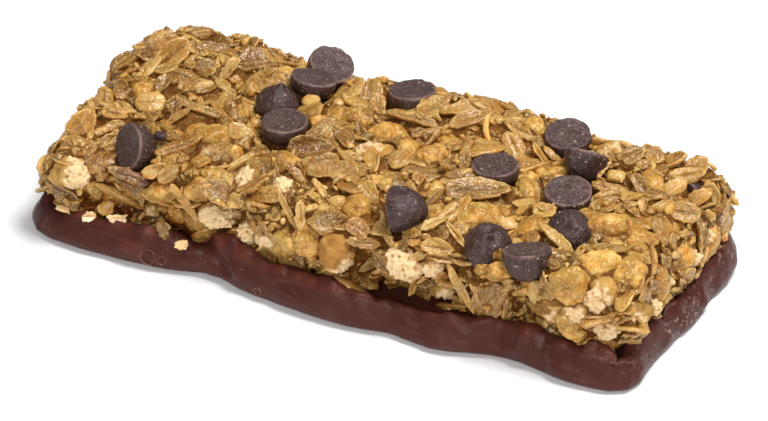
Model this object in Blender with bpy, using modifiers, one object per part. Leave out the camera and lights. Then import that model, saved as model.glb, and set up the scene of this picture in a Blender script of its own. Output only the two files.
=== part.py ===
"""A chewy granola bar: a pressed oat layer on a chocolate foot, with chocolate chips bedded in its top.

X runs along the bar, Y across it and Z up. Lengths below are in millimetres and turned into metres by MM.
The bar rests on the flat underside of its chocolate at Z = 0.
"""

import math

import bmesh
import bpy
from mathutils import Vector, noise

MM = 0.001
GAP = 0.35  # clearance between pieces that touch

# Plan of the pressed oat layer, where it meets the chocolate.
OAT_HALF_LENGTH = 41.9
OAT_HALF_WIDTH = 15.9
OAT_CENTRE = (0.3, 0.3)
OAT_EDGE_RADIUS = 3.0
OAT_UNDERSIDE = 2.2  # hidden in the chocolate, and trimmed off by it
WALL_LEAN = (0.16, 0.06)  # how far an end and a side wall lean in for each millimetre of height
TUCK = 0.5  # how far it turns in for each millimetre below TUCK_HEIGHT, to stay inside the chocolate
TUCK_HEIGHT = 6.2
END_SKEW = 0.055  # the right end is cut a little askew
# Height of the top at the four corners, as (left, right) at the front and at the back.
TOP_FRONT = (12.3, 15.0)
TOP_BACK = (15.3, 13.9)

# The chocolate foot: its plan, and how it narrows with height.
FOOT_HALF_LENGTH = 43.3
FOOT_HALF_WIDTH = 17.9
FOOT_CORNER_RADIUS = 4.2
RIM_HEIGHT = 5.0
FLOOR_HEIGHT = 3.0
RIM_WIDTH = 1.0
FOOT_STEPS = 88  # points round the foot

# A lobe is (x, y, reach, push): the edge near (x, y) moves out by push, or in where push is negative.
FOOT_LOBES = (
    (-31.0, -18.0, 9.0, 0.7),
    (-16.5, -18.0, 3.8, -1.5),
    (3.7, -18.0, 15.0, 1.7),
    (8.9, -18.0, 2.8, -0.7),
    (16.1, -18.0, 2.8, 0.7),
    (25.3, -18.0, 4.0, -0.8),
    (35.5, -18.0, 6.0, 0.9),
    (43.3, -11.5, 5.0, -1.0),
    (43.3, 1.1, 4.0, 1.1),
    (43.3, 10.3, 4.6, 1.9),
    (30.0, 18.0, 6.0, -0.8),
    (13.0, 18.0, 8.0, 0.7),
    (-9.0, 18.0, 5.0, -0.9),
    (-28.0, 18.0, 8.0, 0.6),
    (-43.3, 8.0, 5.0, -0.9),
    (-43.3, -5.0, 6.0, 0.8),
)
# The same for the height of the chocolate's rim.
RIM_LOBES = (
    (-41.0, -16.0, 5.0, -0.8),
    (-26.0, -16.0, 3.2, 1.3),
    (-20.3, -16.0, 1.9, -2.2),
    (-14.5, -16.0, 5.0, 2.0),
    (-3.0, -16.0, 5.0, 0.8),
    (11.0, -16.0, 6.0, -0.8),
    (21.0, -16.0, 2.6, 1.0),
    (30.0, -16.0, 2.8, 1.2),
    (39.0, -16.0, 4.0, -1.4),
    (42.0, 1.0, 5.0, -0.7),
    (42.0, 14.0, 4.5, 0.9),
    (24.0, 16.0, 6.0, 1.2),
    (4.0, 16.0, 5.0, -1.2),
    (-16.0, 16.0, 7.0, 1.5),
    (-33.0, 16.0, 5.0, -0.9),
    (-42.0, 2.0, 6.0, 1.2),
)
# Sections of the foot from its underside up, as (share of the rim's height, how far it lies inside the plan).
FOOT_SECTIONS = ((0.0, 1.35), (0.06, 0.5), (0.2, 0.0), (0.42, 0.2), (0.66, 0.75), (0.88, 1.25), (1.0, 1.75))

# A swelling of the oat layer is (x, y, z, reach, push), for a puffed crisp, a flake that juts out or a hollow.
SWELLINGS = (
    (34.0, -15.5, 11.0, 5.0, 1.3),
    (24.0, -15.0, 12.5, 3.5, 0.7),
    (10.5, -16.0, 10.0, 3.4, 1.3),
    (0.0, -16.0, 9.0, 4.0, 1.1),
    (-16.0, -15.5, 8.0, 4.5, 1.2),
    (-37.0, -15.0, 8.5, 4.2, 1.2),
    (-32.6, -15.0, 12.5, 2.8, -1.6),
    (4.8, -16.0, 6.6, 2.2, -1.8),
    (13.5, -16.0, 5.6, 2.6, -2.2),
    (-29.0, -16.0, 7.0, 3.4, -1.9),
    (-19.0, -16.0, 5.2, 3.4, -2.0),
    (27.5, -16.0, 6.5, 2.8, -1.4),
    (41.5, 12.0, 9.0, 3.5, 0.9),
    (42.0, -3.0, 11.0, 4.5, -0.8),
    (42.0, 8.0, 14.0, 4.5, -1.3),
    (-40.5, 4.0, 10.0, 4.5, 0.5),
    (-39.0, 15.0, 14.0, 5.0, -1.2),
    (-40.5, -8.0, 7.5, 3.5, -1.0),
    (-30.0, 15.5, 9.0, 4.5, 1.0),
    (-12.0, 15.5, 8.5, 3.6, -1.2),
    (-5.0, 16.0, 14.5, 5.5, 0.8),
    (7.0, 16.0, 13.0, 6.0, 1.3),
    (14.0, 16.0, 13.5, 5.0, 0.8),
    (34.0, 15.0, 13.0, 4.5, 1.0),
    (28.0, 15.5, 8.0, 4.0, -1.0),
    (-31.0, 8.0, 15.0, 5.0, 0.8),
    (-20.0, 13.0, 15.5, 6.0, 1.0),
    (-24.0, -6.0, 13.5, 5.0, -0.7),
    (2.0, 2.0, 14.5, 7.0, 0.4),
    (19.0, -4.0, 14.5, 5.0, -0.6),
    (35.0, 4.0, 14.0, 4.0, 0.6),
)
GRAIN = ((5.2, 0.85), (2.5, 0.42))  # (size, height) of the unevenness that flakes and crisps give every face
OAT_CELLS = (42, 16, 7)  # faces along, across and up the oat layer

# A chip is a drop with a flat round base. Its profile is (radius, height), from the base down to the tip.
CHIP_PROFILE = ((0, 0), (2.7, 0), (3.0, -0.35), (3.05, -1.0), (2.8, -1.8), (2.05, -2.9), (0.9, -3.7), (0, -4.0))
CHIP_STEPS = 12
# Each chip: the middle of its base at (x, y, z), the way the base faces, as a compass angle from +X and an
# angle above the horizon, its size beside the common one, and its height beside that size.
CHIPS = (
    (-30.3, -12.2, 14.0, 234, 23, 1.00, 1.0),
    (-13.6, 14.6, 15.2, -15, 68, 1.02, 0.9),
    (-13.5, 8.8, 16.7, 75, 75, 0.98, 0.8),
    (-16.7, 3.9, 13.3, 218, -75, 0.96, 1.0),
    (-13.2, -1.0, 16.0, 114, 87, 1.00, 0.9),
    (-1.2, 12.5, 15.9, 133, 81, 1.02, 0.9),
    (15.2, 1.8, 15.5, 114, 86, 1.00, 0.9),
    (7.3, -12.2, 14.2, 196, -32, 0.98, 1.25),
    (20.9, 12.4, 15.2, 294, 82, 1.00, 0.9),
    (23.8, 7.0, 14.9, 162, 13, 1.00, 1.05),
    (26.0, 0.2, 15.6, 294, 84, 1.00, 0.9),
    (28.4, -5.6, 13.0, 133, -50, 1.00, 1.0),
    (20.4, -12.4, 12.9, 104, -62, 1.00, 1.0),
    (26.2, -13.8, 15.8, 127, 73, 0.99, 1.0),
    (37.9, 10.4, 10.9, 255, 5, 0.90, 0.9),
)

CHOCOLATE = ("chocolate", (0.085, 0.026, 0.018, 1.0), 0.34)
OATS = ("pressed_oats", (0.52, 0.30, 0.10, 1.0), 0.5)
CHIP_CHOCOLATE = ("chip_chocolate", (0.050, 0.022, 0.020, 1.0), 0.5)


def clear_scene():
    for item in list(bpy.data.objects):
        bpy.data.objects.remove(item, do_unlink=True)


def new_collection(name):
    collection = bpy.data.collections.new(name)
    bpy.context.scene.collection.children.link(collection)
    return collection


def material(name, colour, roughness):
    made = bpy.data.materials.new(name)
    made.use_nodes = True
    shader = made.node_tree.nodes["Principled BSDF"]
    shader.inputs["Base Color"].default_value = colour
    shader.inputs["Roughness"].default_value = roughness
    shader.inputs["Metallic"].default_value = 0.0
    return made


def add_object(name, mesh, collection, finish=None):
    made = bpy.data.objects.new(name, mesh)
    collection.objects.link(made)
    if finish:
        mesh.materials.append(finish)
    return made


def hide(cutter):
    cutter.hide_render = True
    cutter.display_type = "WIRE"


def subtract(target, cutter):
    cut = target.modifiers.new("less_" + cutter.name, "BOOLEAN")
    cut.operation = "DIFFERENCE"
    cut.solver = "EXACT"
    cut.object = cutter


def lobe_sum(lobes, point):
    """What all lobes add at a point: each fades with distance as a bell."""
    total = 0.0
    for *centre, reach, push in lobes:
        distance = (point - Vector(centre)).length
        total += push * math.exp(-((distance / reach) ** 2))
    return total


def mix(a, b, share):
    return a + (b - a) * share


# ---------------------------------------------------------------- chocolate foot


def foot_outline():
    """Evenly spaced (point, outward direction) pairs round the foot's rounded rectangle, before its lobes."""
    straight_x = FOOT_HALF_LENGTH - FOOT_CORNER_RADIUS
    straight_y = FOOT_HALF_WIDTH - FOOT_CORNER_RADIUS
    quarter = FOOT_CORNER_RADIUS * math.pi / 2
    # Each side is a straight run and the corner after it, anticlockwise from the front.
    sides = (
        (Vector((-straight_x, -FOOT_HALF_WIDTH)), Vector((1, 0)), 2 * straight_x),
        (Vector((FOOT_HALF_LENGTH, -straight_y)), Vector((0, 1)), 2 * straight_y),
        (Vector((straight_x, FOOT_HALF_WIDTH)), Vector((-1, 0)), 2 * straight_x),
        (Vector((-FOOT_HALF_LENGTH, straight_y)), Vector((0, -1)), 2 * straight_y),
    )
    perimeter = sum(run + quarter for _, _, run in sides)
    pairs = []
    for step in range(FOOT_STEPS):
        walked = perimeter * step / FOOT_STEPS
        for start, along, run in sides:
            if walked <= run + quarter:
                break
            walked -= run + quarter
        outward = Vector((along.y, -along.x))
        if walked <= run:
            pairs.append((start + along * walked, outward))
            continue
        turn = (walked - run) / FOOT_CORNER_RADIUS
        centre = start + along * run - outward * FOOT_CORNER_RADIUS
        direction = outward * math.cos(turn) + along * math.sin(turn)
        pairs.append((centre + direction * FOOT_CORNER_RADIUS, direction))
    return pairs


def foot_rings(grow):
    """The foot's sections as rings of points, each face moved out by grow."""
    outline = foot_outline()
    rings = []
    for share, inset in FOOT_SECTIONS:
        ring = []
        for point, outward in outline:
            rim = RIM_HEIGHT + lobe_sum(RIM_LOBES, point) + grow
            push = lobe_sum(FOOT_LOBES, point) - inset + grow
            place = point + outward * push
            ring.append(Vector((place.x, place.y, rim * share)))
        rings.append(ring)
    # From the rim the chocolate falls to the floor that the oats lie on.
    for inset, sinks in ((FOOT_SECTIONS[-1][1] + RIM_WIDTH, False), (FOOT_SECTIONS[-1][1] + 2 * RIM_WIDTH, True)):
        ring = []
        for point, outward in outline:
            rim = FLOOR_HEIGHT if sinks else RIM_HEIGHT + lobe_sum(RIM_LOBES, point)
            place = point + outward * (lobe_sum(FOOT_LOBES, point) - inset - grow)
            ring.append(Vector((place.x, place.y, rim + grow)))
        rings.append(ring)
    return rings


def loft(name, rings):
    """A closed solid through rings of equally many points, from the lowest to the uppermost."""
    mesh = bmesh.new()
    loops = []
    for ring in rings:
        corners = [mesh.verts.new(point * MM) for point in ring]
        loops.append([mesh.edges.new(pair) for pair in zip(corners, corners[1:] + corners[:1])])
    for lower, upper in zip(loops, loops[1:]):
        bmesh.ops.bridge_loops(mesh, edges=lower + upper)
    for cap in (loops[0], loops[-1]):
        bmesh.ops.contextual_create(mesh, geom=cap)
    bmesh.ops.recalc_face_normals(mesh, faces=mesh.faces[:])
    data = bpy.data.meshes.new(name)
    mesh.to_mesh(data)
    mesh.free()
    data.shade_smooth()
    data.set_sharp_from_angle(angle=math.radians(50))
    return data


# ---------------------------------------------------------------- oat layer


def top_height(x, y):
    """Height of the oat layer's top at a place on its plan, before its unevenness."""
    along = min(max(x / OAT_HALF_LENGTH, -1), 1) / 2 + 0.5
    across = min(max(y / OAT_HALF_WIDTH, -1), 1) / 2 + 0.5
    return mix(mix(*TOP_FRONT, along), mix(*TOP_BACK, along), across)


def rounded(point, half_size):
    """Moves a point of a box's surface onto the same box with edges of OAT_EDGE_RADIUS."""
    core = Vector(min(max(p, OAT_EDGE_RADIUS - h), h - OAT_EDGE_RADIUS) for p, h in zip(point, half_size))
    return core + (point - core).normalized() * OAT_EDGE_RADIUS


def oat_point(unit):
    """Where a point of the unit cube's surface lies on the oat layer."""
    top = top_height(unit.x * OAT_HALF_LENGTH, unit.y * OAT_HALF_WIDTH)
    half_size = Vector((OAT_HALF_LENGTH, OAT_HALF_WIDTH, (top - OAT_UNDERSIDE) / 2))
    flat = Vector(u * h for u, h in zip(unit, half_size))
    if unit.z < 0:
        # The lower half keeps its upright walls, which run down into the chocolate.
        place = rounded(Vector((flat.x, flat.y, 0)), half_size)
        place.z = flat.z
        if abs(unit.x) < 1 and abs(unit.y) < 1:
            place = flat
    else:
        place = rounded(flat, half_size)
    outward = Vector((unit.x if abs(unit.x) == 1 else 0, unit.y if abs(unit.y) == 1 else 0, unit.z == 1)).normalized()
    place.z += half_size.z + OAT_UNDERSIDE
    above = max(place.z - TUCK_HEIGHT, 0)
    tucked = TUCK * max(TUCK_HEIGHT - place.z, 0)
    place.x = OAT_CENTRE[0] + place.x * (1 - (WALL_LEAN[0] * above + tucked) / OAT_HALF_LENGTH)
    place.y = OAT_CENTRE[1] + place.y * (1 - (WALL_LEAN[1] * above + tucked) / OAT_HALF_WIDTH)
    if unit.z > -1:
        grain = sum(height * noise.noise(place / size) * 2 for size, height in GRAIN)
        place += outward * (lobe_sum(SWELLINGS, place) + grain)
    if place.x > 0:
        place.x += END_SKEW * place.y * place.x / OAT_HALF_LENGTH
    return place


def oat_block(name):
    """A cube cut into a grid of faces, with each point moved to its place on the oat layer."""
    mesh = bmesh.new()
    bmesh.ops.create_cube(mesh, size=2)
    for axis, count in enumerate(OAT_CELLS):
        normal = Vector((axis == 0, axis == 1, axis == 2))
        for step in range(1, count):
            everything = mesh.verts[:] + mesh.edges[:] + mesh.faces[:]
            cut = normal * (2 * step / count - 1)
            bmesh.ops.bisect_plane(mesh, geom=everything, plane_co=cut, plane_no=normal, dist=1e-6)
    for corner in mesh.verts:
        unit = Vector(round(c, 5) for c in corner.co)
        corner.co = oat_point(unit) * MM
    data = bpy.data.meshes.new(name)
    mesh.to_mesh(data)
    mesh.free()
    data.shade_smooth()
    return data


# ---------------------------------------------------------------- chocolate chips


def chip_mesh(name, grow):
    """The chip's profile as a line of edges in the XZ plane, moved out by grow, for a Screw modifier."""
    tip = CHIP_PROFILE[-1][1]
    points = []
    for radius, height in CHIP_PROFILE:
        wide = radius + grow if radius else 0
        points.append(Vector((wide, 0, height + grow * (1 - 2 * height / tip))) * MM)
    data = bpy.data.meshes.new(name)
    data.from_pydata(points, [(i, i + 1) for i in range(len(points) - 1)], [])
    return data


def turn(profile_object):
    screw = profile_object.modifiers.new("turned", "SCREW")
    screw.axis = "Z"
    screw.steps = CHIP_STEPS
    screw.render_steps = CHIP_STEPS
    screw.use_merge_vertices = True
    screw.merge_threshold = 0.00001
    screw.use_smooth_shade = True


def place_chip(chip, row):
    *base, compass, tilt, size, height = row
    compass, tilt = math.radians(compass), math.radians(tilt)
    facing = Vector((math.cos(tilt) * math.cos(compass), math.cos(tilt) * math.sin(compass), math.sin(tilt)))
    chip.location = Vector(base) * MM
    chip.rotation_mode = "QUATERNION"
    chip.rotation_quaternion = facing.to_track_quat("Z", "Y")
    chip.scale = (size, size, size * height)


# ---------------------------------------------------------------- the bar


def centre_on_origin(parts):
    """Moves everything so that the bar's box is centred over the origin."""
    bpy.context.view_layer.update()
    graph = bpy.context.evaluated_depsgraph_get()
    corners = []
    for part in parts:
        seen = part.evaluated_get(graph)
        corners += [seen.matrix_world @ Vector(corner) for corner in seen.bound_box]
    low = Vector(min(c[i] for c in corners) for i in range(3))
    high = Vector(max(c[i] for c in corners) for i in range(3))
    shift = (low + high) / 2
    for item in bpy.data.objects:
        item.location -= Vector((shift.x, shift.y, 0))


def main():
    clear_scene()
    bar = new_collection("granola_bar")
    cutters = new_collection("cutters")

    chocolate = material(*CHOCOLATE)
    foot = add_object("chocolate_base", loft("chocolate_base", foot_rings(0.0)), bar, chocolate)
    oats = add_object("granola", oat_block("granola"), bar, material(*OATS))

    foot_cutter = add_object("foot_cutter", loft("foot_cutter", foot_rings(GAP)), cutters)
    hide(foot_cutter)
    subtract(oats, foot_cutter)

    chip_shape = chip_mesh("chip", 0.0)
    chip_shape.materials.append(material(*CHIP_CHOCOLATE))
    pocket_shape = chip_mesh("pocket", GAP)
    chips = []
    for number, row in enumerate(CHIPS, start=1):
        chip = add_object(f"chip_{number:02d}", chip_shape, bar)
        pocket = add_object(f"pocket_{number:02d}", pocket_shape, cutters)
        for item in (chip, pocket):
            turn(item)
            place_chip(item, row)
        hide(pocket)
        subtract(oats, pocket)
        chips.append(chip)

    centre_on_origin([foot, oats, *chips])


main()
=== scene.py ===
"""Looks of a chewy granola bar: oat flakes, crisps and chocolate chips bound by syrup on a chocolate foot.

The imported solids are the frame. Every piece made here replaces one of them or lies on it.
Shapes are worked out in millimetres, in the frame's own axes (X along the bar, Y across it, Z up).
"""

import math

import bpy
import numpy as np
from mathutils import Matrix, Vector
from mathutils.bvhtree import BVHTree

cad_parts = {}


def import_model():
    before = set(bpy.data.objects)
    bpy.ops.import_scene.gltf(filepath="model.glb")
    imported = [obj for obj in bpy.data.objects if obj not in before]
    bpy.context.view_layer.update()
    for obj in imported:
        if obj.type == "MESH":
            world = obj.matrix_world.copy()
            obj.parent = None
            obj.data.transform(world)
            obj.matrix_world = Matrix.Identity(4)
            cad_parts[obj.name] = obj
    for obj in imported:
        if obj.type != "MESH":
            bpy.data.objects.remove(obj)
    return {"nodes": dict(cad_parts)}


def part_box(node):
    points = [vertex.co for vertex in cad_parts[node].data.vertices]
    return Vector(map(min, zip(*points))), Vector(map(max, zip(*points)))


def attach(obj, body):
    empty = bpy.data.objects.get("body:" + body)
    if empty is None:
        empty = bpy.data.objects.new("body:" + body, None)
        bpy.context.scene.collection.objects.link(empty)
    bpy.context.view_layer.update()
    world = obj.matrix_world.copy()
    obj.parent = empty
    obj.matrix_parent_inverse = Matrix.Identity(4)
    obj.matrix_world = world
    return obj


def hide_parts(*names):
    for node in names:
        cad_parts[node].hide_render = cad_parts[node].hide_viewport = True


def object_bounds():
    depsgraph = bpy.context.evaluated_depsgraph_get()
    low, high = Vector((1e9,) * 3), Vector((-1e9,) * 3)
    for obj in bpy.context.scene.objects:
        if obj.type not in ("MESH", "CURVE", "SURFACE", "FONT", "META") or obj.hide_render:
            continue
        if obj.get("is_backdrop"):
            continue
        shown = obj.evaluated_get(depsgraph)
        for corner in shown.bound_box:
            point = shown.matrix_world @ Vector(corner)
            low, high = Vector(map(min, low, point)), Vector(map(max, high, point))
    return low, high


MM = 0.001
SEED = 7

# ---------------------------------------------------------------- numbers


def linear(red, green, blue):
    """A colour read as 0-255 sRGB, as the linear values that the shaders take."""
    shares = np.array((red, green, blue), float) / 255
    return np.where(shares <= 0.04045, shares / 12.92, ((shares + 0.055) / 1.055) ** 2.4)


def hashed(cells, seed):
    """A repeatable random number from -1 to 1 for each whole-numbered cell."""
    mixed = cells[:, 0] * 73856093 ^ cells[:, 1] * 19349663 ^ cells[:, 2] * 83492791 ^ (seed + 1) * 6542989
    mixed = (mixed ^ (mixed >> 13)) * 1274126177 & 0xFFFFFFFF
    mixed = (mixed ^ (mixed >> 16)) * 668265263 & 0xFFFFFFFF
    return (mixed ^ (mixed >> 15)) / 2**31 - 1


def noise(points, size, seed=0):
    """Smooth random values from -1 to 1, with features about `size` across."""
    scaled = np.asarray(points, float) / size
    cell = np.floor(scaled).astype(np.int64)
    part = scaled - cell
    fade = part * part * (3 - 2 * part)
    total = np.zeros(len(scaled))
    for corner in range(8):
        step = np.array([(corner >> axis) & 1 for axis in range(3)])
        weight = np.prod(np.where(step, fade, 1 - fade), axis=1)
        total += weight * hashed(cell + step, seed)
    return total


def fractal(points, size, octaves=3, seed=0):
    """Noise at several sizes, each half the last."""
    return sum(noise(points, size / 2**k, seed + 17 * k) / 2**k for k in range(octaves))


def nearest_feature(points, size, seed=0):
    """Distance to the nearest of points strewn one to a cell, as a share of the cell's size."""
    scaled = np.asarray(points, float) / size
    cell = np.floor(scaled).astype(np.int64)
    best = np.full(len(scaled), 9.0)
    for index in range(27):
        near = cell + np.array((index % 3 - 1, index // 3 % 3 - 1, index // 9 - 1))
        feature = near + 0.5 + 0.42 * np.stack([hashed(near, seed + 31 * axis) for axis in range(3)], axis=1)
        best = np.minimum(best, np.linalg.norm(scaled - feature, axis=1))
    return best


def unit(vector):
    return vector / np.linalg.norm(vector)


def spin(angle):
    """Turns by an angle about Z."""
    c, s = math.cos(angle), math.sin(angle)
    return np.array(((c, -s, 0), (s, c, 0), (0, 0, 1)))


def smoothed(layer, cells):
    """A grid blurred over about that many cells. Cells that hold no number are left out."""
    known = np.isfinite(layer)
    value = np.where(known, layer, 0.0)
    weight = known.astype(float)
    for _ in range(cells):
        value = spread(value)
        weight = spread(weight)
    return np.where(weight > 1e-3, value / np.maximum(weight, 1e-3), np.nan)


def spread(layer):
    """One step of a blur: each cell takes a quarter from each neighbour along both directions."""
    wide = np.pad(layer, 1, mode="edge")
    rows = (wide[:-2] + 2 * wide[1:-1] + wide[2:]) / 4
    return (rows[:, :-2] + 2 * rows[:, 1:-1] + rows[:, 2:]) / 4


# ---------------------------------------------------------------- the faces that things are laid on

CELL = 0.3  # grid step of a side's fields
REACH = 60.0  # rays start this far out
CORE_DEPTH = 1.5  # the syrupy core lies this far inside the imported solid


def points_of(thing):
    mesh = thing.data if isinstance(thing, bpy.types.Object) else thing
    flat = np.empty(len(mesh.vertices) * 3, np.float32)
    mesh.vertices.foreach_get("co", flat)
    return flat.reshape(-1, 3).astype(float) / MM


def triangles_of(thing):
    mesh = thing.data if isinstance(thing, bpy.types.Object) else thing
    mesh.calc_loop_triangles()
    flat = np.empty(len(mesh.loop_triangles) * 3, np.int32)
    mesh.loop_triangles.foreach_get("vertices", flat)
    return flat.reshape(-1, 3)


def search_tree(objects):
    points, faces, count = [], [], 0
    for item in objects:
        corners = points_of(item)
        points.append(corners)
        faces.append(triangles_of(item) + count)
        count += len(corners)
    return BVHTree.FromPolygons(np.concatenate(points).tolist(), np.concatenate(faces).tolist())


class Side:
    """One face of the oat layer as fields over a grid: how far out each spot of it reaches."""

    def __init__(self, name, out, across, up, low, high, oats, chips):
        self.name = name
        self.axes = np.array((across, up, out), float)
        corners = np.array([(x, y, z) for x in (low[0], high[0]) for y in (low[1], high[1]) for z in (low[2], high[2])])
        local = corners @ self.axes.T
        self.low = local.min(0)[:2] - 1.5
        self.shape = np.ceil((local.max(0)[:2] + 1.5 - self.low) / CELL).astype(int) + 1
        self.target, facing = self.cast(oats)
        self.chip, _ = self.cast(chips)
        hidden = np.isfinite(self.chip) & ~(self.chip < self.target - 0.2)
        near_chip = hidden.copy()
        for _ in range(2):
            near_chip = spread(near_chip.astype(float)) > 0.01
        self.chip = np.where(hidden, self.chip, -np.inf)
        solid = np.isfinite(self.target)
        filled = smoothed(np.where(near_chip, np.nan, self.target), 12)
        self.target = np.where(near_chip & solid, filled, self.target)
        self.free = solid & ~near_chip & (facing > 0.4)
        self.field = self.target - CORE_DEPTH
        self.even = smoothed(self.target, 6)
        self.slope = np.gradient(self.even, CELL)
        self.guard = np.full(self.shape[::-1], -np.inf)
        self.cells = np.argwhere(self.free)

    def cast(self, tree):
        """How far out the solid reaches over each cell, and how squarely it faces out there."""
        reach = np.full(self.shape[::-1], np.nan)
        facing = np.zeros(self.shape[::-1])
        direction = Vector(-self.axes[2])
        for row in range(self.shape[1]):
            for column in range(self.shape[0]):
                a, b = self.low + np.array((column, row)) * CELL
                start = Vector(self.axes.T @ (a, b, REACH))
                hit, normal, _, _ = tree.ray_cast(start, direction)
                if hit is not None:
                    reach[row, column] = Vector(self.axes[2]).dot(hit)
                    facing[row, column] = -direction.dot(normal)
        return reach, facing

    def index(self, places):
        """Grid indices of places given by their first two local coordinates."""
        cell = np.rint((places[:, :2] - self.low) / CELL).astype(int)
        return np.clip(cell[:, 1], 0, self.shape[1] - 1), np.clip(cell[:, 0], 0, self.shape[0] - 1)

    def around(self, places):
        """The field's mean height about each place, and whether it is known there."""
        total, count = np.zeros(len(places)), np.zeros(len(places))
        for shift in ((0, 0), (0.5, 0), (-0.5, 0), (0, 0.5), (0, -0.5)):
            height = self.field[self.index(places[:, :2] + shift)]
            total += np.where(np.isfinite(height), height, 0)
            count += np.isfinite(height)
        return np.where(count > 0, total / np.maximum(count, 1), np.nan)

    def take(self, local):
        """Raises the field to a thing that now lies there, given by points on it."""
        np.maximum.at(self.field, self.index(local), local[:, 2])

    def keep_clear(self, local):
        """Marks a thing that nothing laid later may hide."""
        np.maximum.at(self.guard, self.index(local), local[:, 2])

    def hollow(self, spot, radius, depth):
        """Makes room for a dark gap: things laid later lie deeper there."""
        columns, rows = (self.low[k] + np.arange(self.shape[k]) * CELL - spot[k] for k in (0, 1))
        away = np.hypot(*np.meshgrid(columns, rows)) / radius
        drop = depth * np.exp(-(away**4))
        self.target = self.target - drop
        self.field = self.field - drop

    def hides(self, local):
        """The share of a thing's points that would lie over things to be kept in sight."""
        rows, columns = self.index(local)
        guard = self.guard[rows, columns]
        return ((guard > -np.inf) & (local[:, 2] > guard - 0.1)).mean()

    def lowest_spot(self, rng, tries):
        """Of a few random free spots, the one that lies deepest, and how deep."""
        picked = self.cells[rng.integers(len(self.cells), size=tries)]
        depth = self.target[picked[:, 0], picked[:, 1]] - self.field[picked[:, 0], picked[:, 1]]
        best = int(np.argmax(depth))
        row, column = picked[best]
        return self.low + (np.array((column, row)) + rng.uniform(-0.5, 0.5, 2)) * CELL, depth[best]


# ---------------------------------------------------------------- shapes of single things


def closed_rings(rings):
    """Points and triangles of a closed form: a first point, rings of equal count, and a last point."""
    first, *middle, last = rings
    count = len(middle[0])
    points = np.concatenate([first[None], *middle, last[None]])
    step = np.arange(count)
    onward = (step + 1) % count
    faces = [np.stack([np.zeros(count, int), 1 + step, 1 + onward], axis=1)]
    for ring in range(len(middle) - 1):
        a = 1 + ring * count
        b = a + count
        faces.append(np.stack([a + step, b + step, b + onward], axis=1))
        faces.append(np.stack([a + step, b + onward, a + onward], axis=1))
    a = 1 + (len(middle) - 1) * count
    faces.append(np.stack([a + onward, a + step, np.full(count, len(points) - 1)], axis=1))
    return points, np.concatenate(faces)


# Sections of a flake from its middle over the rim to its underside: (share of the outline, height in half thicknesses).
FINE_SECTIONS = ((0.16, 1.0), (0.32, 1.0), (0.48, 1.0), (0.63, 1.0), (0.77, 0.97), (0.89, 0.85), (0.97, 0.5), (1.0, 0.0), (0.94, -0.7), (0.6, -1.0))
SECTIONS = ((0.24, 1.0), (0.48, 1.0), (0.7, 1.0), (0.87, 0.86), (0.97, 0.5), (1.0, -0.1), (0.9, -0.85))
PLAIN_SECTIONS = ((0.45, 1.0), (0.8, 0.92), (1.0, 0.25), (0.92, -0.8))


class Thing:
    """One flake, crisp or crumb in its own axes, with a colour and a grain coordinate at each point."""

    def __init__(self, points, faces, tint, grain):
        self.points, self.faces, self.tint, self.grain = points, faces, tint, grain
        span = np.ptp(points, axis=0)
        fine = max(1, int(math.ceil(max(span[:2]) / 9)))
        self.samples = SAMPLES[min(fine, 1)]


SAMPLES = {
    0: np.array(((1 / 3, 1 / 3, 1 / 3),)),
    1: np.array(
        (
            (1 / 3, 1 / 3, 1 / 3),
            (0.6, 0.2, 0.2),
            (0.2, 0.6, 0.2),
            (0.2, 0.2, 0.6),
            (0.48, 0.48, 0.04),
            (0.04, 0.48, 0.48),
            (0.48, 0.04, 0.48),
        )
    ),
}


def outline_of(rng, length, width, segments, breaks):
    """A flake's outline seen from above: an oval with pointed ends, soft waves and nicks, and broken-off sides."""
    angle = (np.arange(segments) + rng.uniform(-0.2, 0.2, segments)) * 2 * math.pi / segments
    point = rng.uniform(0.95, 1.3)
    across = np.sign(np.sin(angle)) * np.abs(np.sin(angle)) ** point
    wobble = np.ones(segments)
    for turns in (1, 2, 3, 4):
        wobble += rng.uniform(0, 0.08) / math.sqrt(turns) * np.cos(turns * angle + rng.uniform(0, 6.3))
    for _ in range(rng.integers(0, 3)):
        off = np.angle(np.exp(1j * (angle - rng.uniform(0, 6.3))))
        wobble -= rng.uniform(0.05, 0.2) * np.exp(-((off / rng.uniform(0.14, 0.35)) ** 2))
    outline = np.stack([np.cos(angle) * length / 2, across * width / 2], axis=1) * wobble[:, None]
    for _ in range(breaks):
        heading = rng.uniform(0, 2 * math.pi)
        side = np.array((math.cos(heading), math.sin(heading)))
        reach = (outline @ side).max()
        over = outline @ side - reach * rng.uniform(0.3, 0.8)
        jag = rng.uniform(-0.12, 0.12, segments)
        outline -= np.outer(np.where(over > 0, 0.88 * over + jag, 0), side)
    ragged = rng.uniform(-1, 1, segments) * min(0.15, 0.045 * length)
    return outline + unit_rows(outline) * ragged[:, None]


def unit_rows(vectors):
    return vectors / np.maximum(np.linalg.norm(vectors, axis=1), 1e-6)[:, None]


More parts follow.
